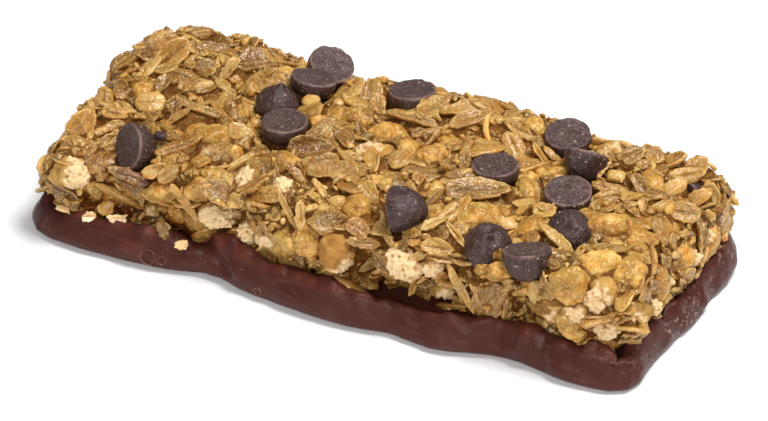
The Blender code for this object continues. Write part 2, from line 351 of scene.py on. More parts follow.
def flake(rng, length, width, thick, tint, segments=18, breaks=0, bend=1.0):
    """A rolled oat flake: thin, cupped, creased along its middle, crinkled all over and wavy at its edge."""
    outline = outline_of(rng, length, width, segments, breaks)
    sections = PLAIN_SECTIONS if segments < 16 else SECTIONS if segments < 24 else FINE_SECTIONS
    rings = [np.zeros(3)]
    shares = [0.0]
    for share, height in sections:
        rings.append(np.column_stack([outline * share, np.full(segments, height * thick / 2)]))
        shares += [share] * segments
    middle = outline.mean(0) * 0.2
    rings[0] = np.append(middle, thick / 2)
    rings.append(np.append(middle, -thick / 2))
    points, faces = closed_rings(rings)
    share = np.array(shares + [0.0])
    x, y = points[:, 0] / (length / 2), points[:, 1] / (width / 2)
    upper = points[:, 2] > 0
    offset = rng.uniform(-500, 500, 3)
    plan = points * (1, 1, 0) + offset
    folded = rng.random() < 0.22
    cup = rng.choice((-1, 1)) * rng.uniform(0.25, 0.5) * bend if folded else rng.normal(0.05, 0.12) * bend
    curl = rng.normal(0.0, 0.10) * bend
    twist = rng.normal(0.0, 0.14) * bend
    line = np.exp(-(((y - 0.15 * x) / 0.14) ** 2)) * np.clip(1 - x**2, 0, 1)
    crease = rng.uniform(0.06, 0.26) * (rng.random() < 0.6)
    around = np.arctan2(y, x)
    lip = rng.uniform(0.0, 0.24) * (0.5 + 0.5 * np.cos(around - rng.uniform(0, 6.3)))
    lift = np.clip((share - 0.62) / 0.3, 0, 1) ** 2
    relief = width * (cup * y**2 + curl * x**2 + twist * x * y) + lip * lift
    relief += rng.uniform(0.08, 0.24) * noise(plan, 1.9) * (0.4 + share)
    relief += 0.13 * share**3 * noise(plan + 40, 1.0)
    relief += rng.uniform(0.02, 0.08) * noise(plan + 60, 0.85) * np.where(upper, 1, 0.3)
    ridges = rng.uniform(0.03, 0.11) * noise(points * (0.16, 1, 0) + offset + 80, 0.5) * upper
    points[:, 2] += relief + ridges - crease * line * upper
    # painted highlight: part of each flake's rim, towards one side, is drawn pale as if it caught the light; the floury
    # patches mixed in at the same step are the oat's own colour
    edge = np.clip((share - 0.72) / 0.28, 0, 1)[:, None]
    rim_highlight = rng.uniform(0.1, 0.75) * (0.35 + 0.65 * np.clip(0.5 + np.cos(around - rng.uniform(0, 6.3)), 0, 1))[:, None]
    # painted shade: the colour is darkened along the crease, where the flake is pressed in
    dark = (crease * 1.8 * line)[:, None]
    soaked = np.clip(0.5 * fractal(plan + 20, 2.4, 2) + rng.uniform(-0.25, 0.25), 0, 0.7)[:, None]
    floury = np.clip(fractal(plan + 130, 1.5, 2) - rng.uniform(0.3, 0.8), 0, 0.5)[:, None]
    shade = 1 + 0.12 * noise(points * (0.4, 1, 1) + offset, 0.9)[:, None]
    colour = tint * shade * (1 - dark)
    colour = colour * (1 - soaked * (1 - SYRUP_STAIN))
    colour = colour + (PALE_EDGE - colour) * np.maximum(rim_highlight * edge**2, floury)
    return Thing(points, faces, np.clip(colour, 0.01, 0.95), points + offset)


def ball(level):
    """Points and triangles of a round ball of triangles."""
    mesh = bpy.data.meshes.new("ball")
    import bmesh

    form = bmesh.new()
    bmesh.ops.create_icosphere(form, subdivisions=level, radius=1.0)
    form.to_mesh(mesh)
    form.free()
    points, faces = points_of(mesh) * MM, triangles_of(mesh)
    bpy.data.meshes.remove(mesh)
    return points, faces


BALLS = {level: ball(level) for level in (1, 2, 3, 4, 5)}


def crisp(rng, length, width, height, tint, level=4):
    """A puffed crisp: a plump lumpy grain, its skin smooth on the swellings and drawn in between them."""
    start, faces = BALLS[level]
    offset = rng.uniform(-500, 500, 3)
    points = start * (length / 2, width / 2, height / 2)
    size = (length * width * height) ** (1 / 3)
    lumps = noise(points + offset, 0.42 * size)
    swell = 1 + 0.22 * lumps + 0.08 * noise(points + offset + 9, 0.2 * size)
    bubbles = 0.5 - nearest_feature(points + offset + 30, 0.75)
    points = points * swell[:, None] + start * (0.2 * bubbles + 0.1 * noise(points + offset, 0.4))[:, None]
    blotch = noise(points + offset, 1.3)[:, None]
    colour = tint * (1 + 0.14 * blotch)
    # partly painted highlight: the skin is drawn towards cream on the swellings; the rest of the cream is random
    # blotches
    colour = colour + (CREAM - colour) * np.clip(0.9 * blotch + 0.5 * bubbles[:, None], 0, 0.6)
    # painted shade between the swellings, in the amber of a syrup stain
    low = np.clip(-2.0 * bubbles - 0.1 - lumps, 0, 0.7)[:, None]
    colour = colour * (1 - low * (1 - SYRUP_STAIN))
    return Thing(points, faces, np.clip(colour, 0.01, 0.95), points + offset)


def broken_crisp(rng, length, width, height, tint, open_share=0.5, level=5):
    """A crisp broken open: a golden skin round its sides, and a white crumbly foam of clumps and holes on top."""
    start, faces = BALLS[level]
    offset = rng.uniform(-500, 500, 3)
    points = start * (length / 2, width / 2, height / 2)
    size = (length * width * height) ** (1 / 3)
    points = points * (1 + 0.25 * noise(points + offset, 0.4 * size))[:, None]
    ragged = 0.55 * noise(points + offset + 70, 1.5) + 0.45 * noise(points + offset + 7, 0.6)
    broken_side = unit(rng.normal(0, 0.45, 3) + (0, 0, 1))
    opening = np.clip((start @ broken_side - 1 + 2 * open_share + ragged) * 3, 0, 1)
    clumps = np.clip(1.1 - nearest_feature(points + offset, 0.55) * 1.6, -0.5, 1)
    holes = np.clip(1 - nearest_feature(points + offset, 0.95, 5) / 0.36, 0, 1)
    rise = opening * (0.26 * clumps - 0.45 * holes - 0.15 + 0.22 * fractal(points + offset, 0.5, 2))
    wrinkle = (1 - opening) * (0.3 * (0.5 - nearest_feature(points + offset + 30, 0.75)) + 0.12 * noise(points + offset, 0.45))
    points = points + start * (rise + wrinkle)[:, None]
    blotch = noise(points + offset, 1.1)[:, None]
    skin = tint * (1 + 0.16 * blotch)
    skin = skin + (CREAM - skin) * np.clip(0.9 * blotch, 0, 0.6)
    skin = skin * (1 - np.clip(-1.4 * blotch - 0.3, 0, 0.6) * (1 - SYRUP_STAIN)) * BROWNED
    # painted shade: the foam is darkened in its holes and between its clumps
    hollow = np.clip(1.2 * holes + 0.6 * (0.2 - clumps), 0, 1)[:, None]
    foam = WHITE_FOAM * (1 + 0.08 * noise(points + offset, 0.3))[:, None] * (1 - hollow * (1 - FOAM_HOLE_SHADE))
    colour = skin + (foam - skin) * opening[:, None]
    return Thing(points, faces, np.clip(colour, 0.01, 0.95), points + offset)


def chunk(rng, length, width, height, tint, level=3):
    """A blocky broken piece with blunt edges."""
    start, faces = BALLS[level]
    offset = rng.uniform(-500, 500, 3)
    blocky = np.sign(start) * np.abs(start) ** 0.55
    points = blocky * (length / 2, width / 2, height / 2) * (1 + 0.1 * noise(start + offset, 0.9))[:, None]
    colour = tint * (1 + 0.08 * noise(points + offset, 0.8))[:, None]
    return Thing(points, faces, np.clip(colour, 0.01, 0.95), points + offset)


def strand(rng, length, width, sway, tint):
    """A thin fibre that bends to one side, thicker at one end."""
    steps = np.linspace(-1, 1, 16)
    angle = np.arange(8) * math.pi / 4
    rings = []
    for step in steps:
        radius = width / 2 * (1 - 0.9 * step**8) * (1.15 - 0.25 * step) * rng.uniform(0.9, 1.1)
        centre = np.array((step * length / 2, sway * (1 - step**2), 0.1 * math.sin(3 * step)))
        rings.append(centre + radius * np.column_stack([0 * angle, np.cos(angle), np.sin(angle)]))
    points, faces = closed_rings([rings[0].mean(0), *rings, rings[-1].mean(0)])
    colour = tint * (1 + 0.1 * noise(points, 0.8))[:, None]
    return Thing(points, faces[:, ::-1], colour, points)


def crumb(rng, size, tint, level=2):
    """A small angular crumb."""
    start, faces = BALLS[level]
    offset = rng.uniform(-500, 500, 3)
    points = start * size / 2 * rng.uniform(0.5, 1.4, 3) * (1, 1, 0.7)
    points = points * (1 + 0.8 * noise(start + offset, 0.8))[:, None]
    colour = tint * (1 + 0.2 * noise(points + offset, 0.6))[:, None]
    return Thing(points, faces, np.clip(colour, 0.01, 0.95), points + offset)


# ---------------------------------------------------------------- laying things down


class Kind:
    """All things of one kind, gathered into one mesh."""

    def __init__(self, name):
        self.name, self.count = name, 0
        self.points, self.faces, self.tints, self.grains = [], [], [], []

    def add(self, thing, world):
        self.points.append(world)
        self.faces.append(thing.faces + self.count)
        self.tints.append(thing.tint)
        self.grains.append(thing.grain)
        self.count += len(world)


def face_samples(local, thing):
    """Points spread over a thing's faces, to raise the fields with."""
    corners = local[thing.faces]
    return np.einsum("sk,fkd->fsd", thing.samples, corners).reshape(-1, 3)


def in_box(world):
    return (world > BOX_LOW - ROOM).all() and (world < BOX_HIGH + ROOM).all()


def record(sides, kind, thing, world):
    samples = face_samples(world, thing)
    for side in sides:
        side.take(samples @ side.axes.T)
    kind.add(thing, world)


def fitted_slope(side, flat):
    """Slope of the plane that lies on the field under a thing, or None where too much of it hangs over nothing."""
    rows, columns = side.index(flat)
    heights = side.field[rows, columns]
    known = np.isfinite(heights) & (side.chip[rows, columns] == -np.inf)
    if known.mean() < 0.62:
        return None
    places, heights = flat[known, :2], heights[known]
    design = np.column_stack([places, np.ones(len(places))])
    weight = np.ones(len(places))
    for _ in range(2):
        fit, *_ = np.linalg.lstsq(design * weight[:, None], heights * weight, rcond=None)
        weight = np.where(heights - design @ fit < -0.4, 0.25, 1.0)
    return fit[:2]


def lay(sides, side, kind, thing, spot, turn, tilt=(0.0, 0.0), sink=0.1, drape=0.4, proud=0.7, follow=0.5, steepest=0.75):
    """Lays a thing on a side at a spot, resting on what is there. It says whether the thing found a place."""
    flat = thing.points @ spin(turn).T
    flat[:, :2] += spot
    slope = fitted_slope(side, flat)
    if slope is None:
        return False
    row, column = side.index(np.array([spot]))
    general = np.array((side.slope[1][row[0], column[0]], side.slope[0][row[0], column[0]]))
    if np.isfinite(general).all():
        slope = slope * (1 - follow) + general * follow
    slope = slope + tilt
    steep = np.linalg.norm(slope)
    if steep > steepest:
        slope *= steepest / steep
    normal = unit(np.array((-slope[0], -slope[1], 1.0)))
    along = unit(np.array((1.0, 0.0, slope[0])))
    turned = np.column_stack([along, np.cross(normal, along), normal]) @ spin(turn)
    local = thing.points @ turned.T
    local[:, :2] += spot
    rows, columns = side.index(local)
    under = side.field[rows, columns]
    known = np.isfinite(under)
    if known.mean() < 0.6:
        return False
    lift = np.percentile((under - local[:, 2])[known], 84) - sink
    local[:, 2] += lift
    if drape:
        ground = side.around(local)
        hang = np.where(np.isfinite(ground), np.clip(ground + 0.15 - local[:, 2], -1.5, 0.35), 0)
        away = np.linalg.norm(thing.points[:, :2], axis=1)
        local[:, 2] += drape * hang * (away / away.max()) ** 1.5
    target = side.target[rows, columns]
    if np.nanmean(local[:, 2] - target) > proud or np.nanmax(local[:, 2] - target) > proud + 0.9:
        return False
    on_chip = local[:, 2] > side.chip[rows, columns] - 0.2
    if (on_chip & (side.chip[rows, columns] > -np.inf)).mean() > 0.03:
        return False
    world = local @ side.axes
    if not in_box(world) or hidden_share(sides, world) > MOST_HIDDEN:
        return False
    record(sides, kind, thing, world)
    return True


def lodge(sides, side, kind, thing, spot, normal, turn, proud):
    """Wedges a thing into a side with its own flat facing along a given direction, so that its edge shows."""
    normal = unit(np.asarray(normal, float))
    along = unit(np.cross((0.3, 0.8, 0.1), normal))
    turned = np.column_stack([along, np.cross(normal, along), normal]) @ spin(turn)
    world = thing.points @ turned.T
    local = world @ side.axes.T
    local[:, :2] += spot
    row, column = side.index(np.array([spot]))
    target = side.target[row[0], column[0]]
    if not np.isfinite(target):
        return False
    local[:, 2] += target + proud - local[:, 2].max()
    rows, columns = side.index(local)
    chips = side.chip[rows, columns]
    if ((chips > -np.inf) & (local[:, 2] > chips - 0.2)).mean() > 0.03:
        return False
    world = local @ side.axes
    if not in_box(world) or world[:, 2].min() < LOWEST_OATS or hidden_share(sides, world) > MOST_HIDDEN:
        return False
    record(sides, kind, thing, world)
    return True


def hidden_share(sides, world):
    """How much of a thing would lie over things to be kept in sight, on the side where that is most."""
    return max(side.hides(world @ side.axes.T) for side in sides)


LEAN_HEADING = math.radians(-65.6)  # leaning things lean this way, towards the bar's front right


def show(sides, side, kind, thing, spot, lean, swing, lift=0.25, share=1.0):
    """Sets a thing at a chosen spot of a side, leaning and turned as asked, and keeps it in sight."""
    lean, swing = math.radians(lean), math.radians(swing)
    c, s = math.cos(LEAN_HEADING), math.sin(LEAN_HEADING)
    facing = np.array((math.sin(lean) * c, math.sin(lean) * s, math.cos(lean)))
    level = np.array((-s, c, 0.0))
    along = level * math.cos(swing) + np.cross(facing, level) * math.sin(swing)
    world = thing.points @ np.array((along, np.cross(facing, along), facing))
    row, column = side.index(np.array([spot]))
    reach = side.target[row[0], column[0]]
    if not np.isfinite(reach):
        raise ValueError(f"no surface on the {side.name} at {spot}")
    world = world + np.array((*spot, reach + lift)) @ side.axes
    world[:, 2] = np.maximum(world[:, 2], LOWEST_OATS)
    world = np.clip(world, BOX_LOW - ROOM, BOX_HIGH + ROOM)
    samples = face_samples(world, thing) @ side.axes.T
    middle = np.abs(samples[:, :2] - samples[:, :2].mean(0)).sum(1) < share * np.ptp(samples[:, :2], axis=0).sum() / 2
    side.keep_clear(samples[middle])
    record(sides, kind, thing, world)


# ---------------------------------------------------------------- colours

TANS = [linear(*c) for c in ((190, 148, 88), (180, 138, 76), (200, 158, 96), (172, 128, 68))]
GOLDS = [linear(*c) for c in ((212, 170, 94), (220, 180, 104), (204, 158, 76), (196, 146, 66))]
BROWNS = [linear(*c) for c in ((158, 112, 54), (144, 98, 44), (168, 118, 52))]
PALES = [linear(*c) for c in ((226, 200, 154), (218, 188, 134), (232, 210, 172))]
CRISP_GOLDS = [linear(*c) for c in ((224, 186, 110), (216, 176, 96), (230, 196, 128), (206, 164, 90))]
PALE_EDGE = linear(220, 192, 134)
SYRUP_STAIN = np.array((0.74, 0.54, 0.26))  # what a soaked spot keeps of its red, green and blue
BROWNED = np.array((0.88, 0.72, 0.62))  # what the torn skin of a broken crisp keeps of its red, green and blue
CREAM = linear(222, 188, 112)
WHITE_FOAM = linear(222, 206, 174)
SHARED_LOW, SHARED_HIGH = linear(166, 114, 46), linear(208, 170, 104)
# painted shade: the colour that holes in the foam are darkened to
FOAM_HOLE_SHADE = np.array((0.55, 0.38, 0.16))  # what a hole in the foam keeps of its red, green and blue
# painted shade: the amber colour that the deepest crevices are darkened to
CREVICE_SHADE = np.array((0.48, 0.2, 0.015))  # what the deepest spots keep of their red, green and blue
LUMA = np.array((0.3, 0.6, 0.1))
LIGHTNESS = 0.32  # of a usual tint
BLEND = 0.42
CORE_TINT = linear(142, 92, 26)


HUE = np.array((0.66, 0.62, 0.345))  # how the tints above are corrected to what this light shows


def pick(rng, *groups):
    """A colour from weighted groups, given as (weight, colours) pairs, with a little of its own."""
    weights = np.array([weight for weight, _ in groups], float)
    group = groups[rng.choice(len(groups), p=weights / weights.sum())][1]
    colour = group[rng.integers(len(group))] * rng.uniform(0.86, 1.14)
    return colour * HUE * (1 + rng.uniform(-0.05, 0.05, 3))


def oat_colour(rng):
    return pick(rng, (4.2, TANS), (3.2, GOLDS), (1.3, BROWNS), (2.2, PALES))


# ---------------------------------------------------------------- materials


class Graph:
    """Short calls to make a material's nodes."""

    def __init__(self, name):
        self.material = bpy.data.materials.new(name)
        self.material.use_nodes = True
        self.tree = self.material.node_tree
        self.shader = self.tree.nodes["Principled BSDF"]

    def node(self, kind, **settings):
        made = self.tree.nodes.new(kind)
        for key, value in settings.items():
            setattr(made, key, value)
        return made

    def put(self, socket, value):
        if isinstance(value, bpy.types.NodeSocket):
            self.tree.links.new(value, socket)
        elif value is not None:
            socket.default_value = value

    def attribute(self, name, output="Color"):
        return self.node("ShaderNodeAttribute", attribute_name=name).outputs[output]

    def place(self):
        return self.node("ShaderNodeTexCoord").outputs["Object"]

    def stretched(self, vector, scale):
        made = self.node("ShaderNodeVectorMath", operation="MULTIPLY")
        self.put(made.inputs[0], vector)
        made.inputs[1].default_value = scale
        return made.outputs[0]

    def noise(self, vector, scale, detail=3.0, roughness=0.55, distortion=0.0):
        made = self.node("ShaderNodeTexNoise")
        self.put(made.inputs["Vector"], vector)
        made.inputs["Scale"].default_value = scale
        made.inputs["Detail"].default_value = detail
        made.inputs["Roughness"].default_value = roughness
        made.inputs["Distortion"].default_value = distortion
        return made.outputs["Fac"]

    def cells(self, vector, scale, feature="F1"):
        made = self.node("ShaderNodeTexVoronoi", feature=feature)
        self.put(made.inputs["Vector"], vector)
        made.inputs["Scale"].default_value = scale
        return made.outputs["Distance"]

    def span(self, value, low, high, to_low=0.0, to_high=1.0):
        made = self.node("ShaderNodeMapRange")
        self.put(made.inputs["Value"], value)
        for name, number in zip(("From Min", "From Max", "To Min", "To Max"), (low, high, to_low, to_high)):
            made.inputs[name].default_value = number
        return made.outputs["Result"]

    def maths(self, operation, first, second):
        made = self.node("ShaderNodeMath", operation=operation)
        self.put(made.inputs[0], first)
        self.put(made.inputs[1], second)
        return made.outputs[0]

    def mix(self, share, first, second, blend="MIX"):
        made = self.node("ShaderNodeMix", data_type="RGBA", blend_type=blend)
        self.put(made.inputs["Factor"], share)
        for socket, value in zip((made.inputs[6], made.inputs[7]), (first, second)):
            self.put(socket, (*value, 1.0) if isinstance(value, (tuple, np.ndarray)) else value)
        return made.outputs[2]

    def bump(self, height, distance, strength=1.0, normal=None):
        made = self.node("ShaderNodeBump")
        made.inputs["Strength"].default_value = strength
        made.inputs["Distance"].default_value = distance * MM
        self.put(made.inputs["Height"], height)
        if normal is not None:
            self.put(made.inputs["Normal"], normal)
        return made.outputs["Normal"]

    def finish(self, **values):
        for name, value in values.items():
            self.put(self.shader.inputs[name.replace("_", " ")], value)
        return self.material


SKIN_DEPTH = (1.0, 0.8, 0.45)  # how far red, green and blue light travel inside, beside each other


def oat_material(name, coat, roughness, streaks=True):
    g = Graph(name)
    tint = g.attribute("tint")
    grain = g.attribute("grain", "Vector")
    mottle = g.noise(grain, 0.9, 2.0, 0.5)
    colour = g.mix(g.span(mottle, 0.4, 0.72), tint, g.mix(1.0, tint, (0.84, 0.60, 0.26), "MULTIPLY"))
    fine = g.noise(grain, 2.8, 2.0, 0.6)
    grit = g.mix(1.0, colour, (0.70, 0.48, 0.20), "MULTIPLY")
    colour = g.mix(g.span(fine, 0.46, 0.32, 0.0, 0.7), colour, grit)
    folds = g.noise(grain, 1.5, 1.0, 0.5)
    height = g.maths("ADD", g.maths("MULTIPLY", fine, 0.28), folds)
    if streaks:
        fibres = g.noise(g.stretched(grain, (0.22, 2.6, 1.0)), 1.2, 2.0, 0.5)
        lines = g.mix(1.0, colour, (0.66, 0.46, 0.22), "MULTIPLY")
        colour = g.mix(g.span(fibres, 0.52, 0.74, 0.0, 0.38), colour, lines)
        colour = g.mix(g.span(fibres, 0.46, 0.28, 0.0, 0.3), colour, tuple(PALE_EDGE))
        height = g.maths("ADD", height, g.maths("MULTIPLY", fibres, 0.55))
    flour = g.noise(grain, 3.2, 3.0, 0.65)
    colour = g.mix(g.span(flour, 0.55, 0.67, 0.0, 0.65), colour, tuple(PALE_EDGE))
    wet = g.noise(g.place(), 420.0, 2.0, 0.5)
    rough = g.span(wet, 0.35, 0.65, roughness - 0.12, roughness + 0.12)
    return g.finish(
        Base_Color=colour,
        Roughness=rough,
        Normal=g.bump(height, 0.16, 1.0),
        Coat_Normal=g.bump(height, 0.2, 1.0),
        Subsurface_Weight=0.6,
        Subsurface_Radius=SKIN_DEPTH,
        Subsurface_Scale=0.6 * MM,
        Coat_Weight=g.maths("MULTIPLY", g.attribute("bloom", "Fac"), coat),
        Coat_Roughness=0.2,
        Specular_IOR_Level=0.35,
        Specular_Tint=(1.0, 0.75, 0.42, 1.0),
    )


def foam_material(name):
    g = Graph(name)
    tint = g.attribute("tint")
    grain = g.attribute("grain", "Vector")
    pores = g.cells(grain, 3.4)
    # painted shade in the pores: the colour darkens towards each pore's middle, where the bump sinks
    colour = g.mix(g.span(pores, 0.0, 0.28, 0.45, 0.0), tint, g.mix(1.0, tint, (0.62, 0.46, 0.27), "MULTIPLY"))
    height = g.maths("ADD", g.span(pores, 0.0, 0.5), g.noise(grain, 6.0, 3.0, 0.6))
    return g.finish(
        Base_Color=colour,
        Roughness=0.72,
        Normal=g.bump(height, 0.12, 0.8),
        Subsurface_Weight=0.3,
        Subsurface_Radius=SKIN_DEPTH,
        Subsurface_Scale=0.7 * MM,
        Specular_IOR_Level=0.3,
    )


def syrup_material(name):
    g = Graph(name)
    tint = g.attribute("tint")
    place = g.place()
    mottle = g.noise(place, 1100.0, 4.0, 0.65)
    colour = g.mix(g.span(mottle, 0.38, 0.68), g.mix(1.0, tint, (0.5, 0.38, 0.22), "MULTIPLY"), tint)
    grains = g.noise(place, 1500.0, 3.0, 0.65)
    colour = g.mix(g.span(grains, 0.56, 0.68, 0.0, 0.6), colour, tuple(PALE_EDGE * 0.8))
    lumps = g.maths("ADD", grains, g.noise(place, 600.0, 2.0, 0.5))
    return g.finish(
        Base_Color=colour,
        Roughness=0.5,
        Normal=g.bump(lumps, 0.4, 1.0),
        Subsurface_Weight=0.6,
        Subsurface_Radius=SKIN_DEPTH,
        Subsurface_Scale=1.0 * MM,
        Specular_IOR_Level=0.25,
        Specular_Tint=(1.0, 0.7, 0.4, 1.0),
    )


def chocolate_material(name):
    g = Graph(name)
    place = g.place()
    tint = g.attribute("tint")
    rubbed = g.attribute("bloom", "Fac")
    cloud = g.noise(place, 130.0, 4.0, 0.6)
    dull = g.span(cloud, 0.35, 0.7)
    colour = g.mix(dull, g.mix(1.0, tint, (0.84, 0.8, 0.8), "MULTIPLY"), tint)
    smears = g.noise(g.stretched(place, (0.5, 0.5, 1.6)), 500.0, 3.0, 0.6)
    colour = g.mix(g.span(smears, 0.56, 0.7, 0.0, 0.22), colour, tuple(linear(118, 74, 60)))
    specks = g.noise(place, 2300.0, 2.0, 0.5)
    colour = g.mix(g.span(specks, 0.7, 0.78, 0.0, 0.55), colour, tuple(linear(146, 104, 84)))
    flecks = g.maths("MULTIPLY", g.span(g.noise(place, 1500.0, 3.0, 0.6), 0.54, 0.62), rubbed)
    colour = g.mix(g.maths("MULTIPLY", flecks, 0.6), colour, tuple(linear(196, 168, 150)))
    height = g.maths("ADD", g.noise(place, 900.0, 3.0, 0.6), g.maths("MULTIPLY", g.noise(place, 240.0, 2.0), 1.6))
    height = g.maths("ADD", height, g.maths("MULTIPLY", flecks, 0.8))
    return g.finish(
        Base_Color=colour,
        Roughness=g.span(cloud, 0.3, 0.7, 0.36, 0.5),
        Normal=g.bump(height, 0.12, 0.6),
        Subsurface_Weight=0.06,
        Subsurface_Radius=SKIN_DEPTH,
        Subsurface_Scale=0.5 * MM,
        Specular_IOR_Level=0.25,
        Specular_Tint=(1.0, 0.8, 0.72, 1.0),
    )


def chip_material(name):
    g = Graph(name)
    tint = g.attribute("tint")
    grain = g.attribute("grain", "Vector")
    bloom = g.attribute("bloom", "Fac")
    cloud = g.noise(grain, 0.6, 3.0, 0.6)
    colour = g.mix(g.span(cloud, 0.3, 0.7), g.mix(1.0, tint, (0.66, 0.6, 0.6), "MULTIPLY"), tint)
    flutes = g.noise(g.stretched(grain, (1.0, 1.0, 0.1)), 2.4, 2.0, 0.6)
    walls = g.maths("SUBTRACT", 1.0, bloom)
    rubbed = g.maths("MULTIPLY", g.span(flutes, 0.5, 0.68, 0.0, 0.5), walls)
    colour = g.mix(rubbed, colour, tuple(linear(92, 66, 60)))
    specks = g.noise(grain, 4.6, 3.0, 0.65)
    frost = g.maths("MULTIPLY", bloom, g.span(g.noise(grain, 0.8, 2.0, 0.5), 0.35, 0.6, 0.35, 1.0))
    dust = g.maths("MULTIPLY", g.span(specks, 0.44, 0.60), frost)
    colour = g.mix(g.maths("MULTIPLY", dust, 0.66), colour, tuple(linear(126, 104, 100)))
    scratches = g.noise(g.stretched(grain, (0.12, 1.8, 0.6)), 2.2, 3.0, 0.6)
    colour = g.mix(g.span(scratches, 0.6, 0.72, 0.0, 0.35), colour, tuple(linear(120, 94, 86)))
    dots = g.noise(grain, 7.5, 1.0, 0.5)
    colour = g.mix(g.span(dots, 0.6, 0.68, 0.0, 0.5), colour, tuple(linear(150, 128, 124)))
    bits = g.noise(grain, 2.3, 1.0, 0.5)
    colour = g.mix(g.span(bits, 0.71, 0.74, 0.0, 0.8), colour, tuple(linear(186, 164, 148)))
    height = g.maths("ADD", g.maths("MULTIPLY", specks, 0.5), g.maths("MULTIPLY", g.maths("MULTIPLY", flutes, walls), 1.4))
    return g.finish(
        Base_Color=colour,
        Roughness=g.span(cloud, 0.3, 0.7, 0.38, 0.52),
        Normal=g.bump(height, 0.12, 1.0),
        Specular_IOR_Level=0.4,
    )


# ---------------------------------------------------------------- meshes


def mesh_object(name, points, faces, material, tint=None, grain=None, extra=None):
    mesh = bpy.data.meshes.new(name)
    mesh.vertices.add(len(points))
    mesh.vertices.foreach_set("co", (np.asarray(points) * MM).astype(np.float32).ravel())
    faces = np.asarray(faces, np.int32)
    mesh.loops.add(faces.size)
    mesh.loops.foreach_set("vertex_index", faces.ravel())
    mesh.polygons.add(len(faces))
    mesh.polygons.foreach_set("loop_start", np.arange(0, faces.size, faces.shape[1], dtype=np.int32))
    mesh.update(calc_edges=True)
    mesh.validate()
    mesh.shade_smooth()
    if tint is not None:
        layer = mesh.attributes.new("tint", "FLOAT_COLOR", "POINT")
        layer.data.foreach_set("color", np.column_stack([tint, np.ones(len(tint))]).astype(np.float32).ravel())
    if grain is not None:
        layer = mesh.attributes.new("grain", "FLOAT_VECTOR", "POINT")
        layer.data.foreach_set("vector", np.asarray(grain, np.float32).ravel())
    if extra is not None:
        layer = mesh.attributes.new("bloom", "FLOAT", "POINT")
        layer.data.foreach_set("value", np.asarray(extra, np.float32))
    mesh.materials.append(material)
    made = bpy.data.objects.new(name, mesh)
    bpy.context.scene.collection.objects.link(made)
    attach(made, "root")
    return made


def remeshed(node, voxel):
    """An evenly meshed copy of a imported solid, as points, quads and outward normals."""
    copy = node.copy()
    copy.data = node.data.copy()
    copy.parent = None
    bpy.context.scene.collection.objects.link(copy)
    change = copy.modifiers.new("even", "REMESH")
    change.mode = "VOXEL"
    change.voxel_size = voxel * MM
    graph = bpy.context.evaluated_depsgraph_get()
    mesh = bpy.data.meshes.new_from_object(copy.evaluated_get(graph))
    bpy.data.objects.remove(copy)
    points = points_of(mesh)
    corners = np.empty(len(mesh.loops), np.int32)
    mesh.loops.foreach_get("vertex_index", corners)
    normals = np.empty(len(points) * 3, np.float32)
    mesh.vertex_normals.foreach_get("vector", normals)
    bpy.data.meshes.remove(mesh)
    return points, corners.reshape(-1, 4), normals.reshape(-1, 3).astype(float)


def relaxed(points, quads, rounds, share=0.5):
    """Points moved towards the middle of their neighbours, which rounds off corners."""
    ends = np.concatenate([quads[:, [0, 1]], quads[:, [1, 2]], quads[:, [2, 3]], quads[:, [3, 0]]])
    count = np.bincount(ends[:, 0], minlength=len(points))[:, None]
    for _ in range(rounds):
        total = np.stack([np.bincount(ends[:, 0], points[ends[:, 1], k], len(points)) for k in range(3)], axis=1)
        points = points + share * (total / count - points)
    return points


# ---------------------------------------------------------------- the frame

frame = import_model()
cad_box = [list(corner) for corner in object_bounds()]
BOX_LOW, BOX_HIGH = (np.array(corner) / MM for corner in cad_box)
ROOM = np.array((-0.7, 0.7, 0.35))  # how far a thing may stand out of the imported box
LOWEST_OATS = 2.6
MOST_HIDDEN = 0.12  # share of a thing that may lie over things to be kept in sight
WALL_DEPTH = 0.35  # how much deeper it stands on a wall
GLAZE_DEPTH = 0.4  # how far below the things' mean height the syrup between them stands
nodes = frame["nodes"]
chip_nodes = [nodes[name] for name in sorted(nodes) if name.startswith("chip_")]
rng = np.random.default_rng(SEED)

oat_low, oat_high = (np.array(corner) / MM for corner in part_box("granola"))
oat_tree = search_tree([nodes["granola"]])
chip_tree = search_tree(chip_nodes)
SIDES = {
    "top": ((0, 0, 1), (1, 0, 0), (0, 1, 0)),
    "front": ((0, -1, 0), (1, 0, 0), (0, 0, 1)),
    "back": ((0, 1, 0), (-1, 0, 0), (0, 0, 1)),
    "left": ((-1, 0, 0), (0, -1, 0), (0, 0, 1)),
    "right": ((1, 0, 0), (0, 1, 0), (0, 0, 1)),
}
sides = {name: Side(name, *axes, oat_low, oat_high, oat_tree, chip_tree) for name, axes in SIDES.items()}
every = list(sides.values())

# ---------------------------------------------------------------- oats, crisps and crumbs

flakes, pieces, slivers = Kind("oat_flakes"), Kind("oat_pieces"), Kind("oat_slivers")
crisps, broken, crumbs = Kind("puffed_crisps"), Kind("broken_crisps"), Kind("crumbs")
AREA = {name: len(side.cells) * CELL**2 for name, side in sides.items()}


def random_turn():
    return rng.uniform(0, 2 * math.pi)


def random_tilt(usual, steep_share=0.15):
    amount = rng.uniform(0.35, 0.7) if rng.random() < steep_share else abs(rng.normal(0, usual))
    heading = rng.uniform(0, 2 * math.pi)
    return np.array((math.cos(heading), math.sin(heading))) * amount


def small_piece():
    length = rng.uniform(1.5, 3.2)
    width = length * rng.uniform(0.55, 0.95)
    return flake(rng, length, width, rng.uniform(0.5, 0.9), oat_colour(rng), 13, rng.integers(0, 3))


def broken_flake():
    length = rng.uniform(3.0, 5.2)
    width = length * rng.uniform(0.45, 0.75)
    return flake(rng, length, width, rng.uniform(0.5, 0.85), oat_colour(rng), 18, rng.integers(1, 4))


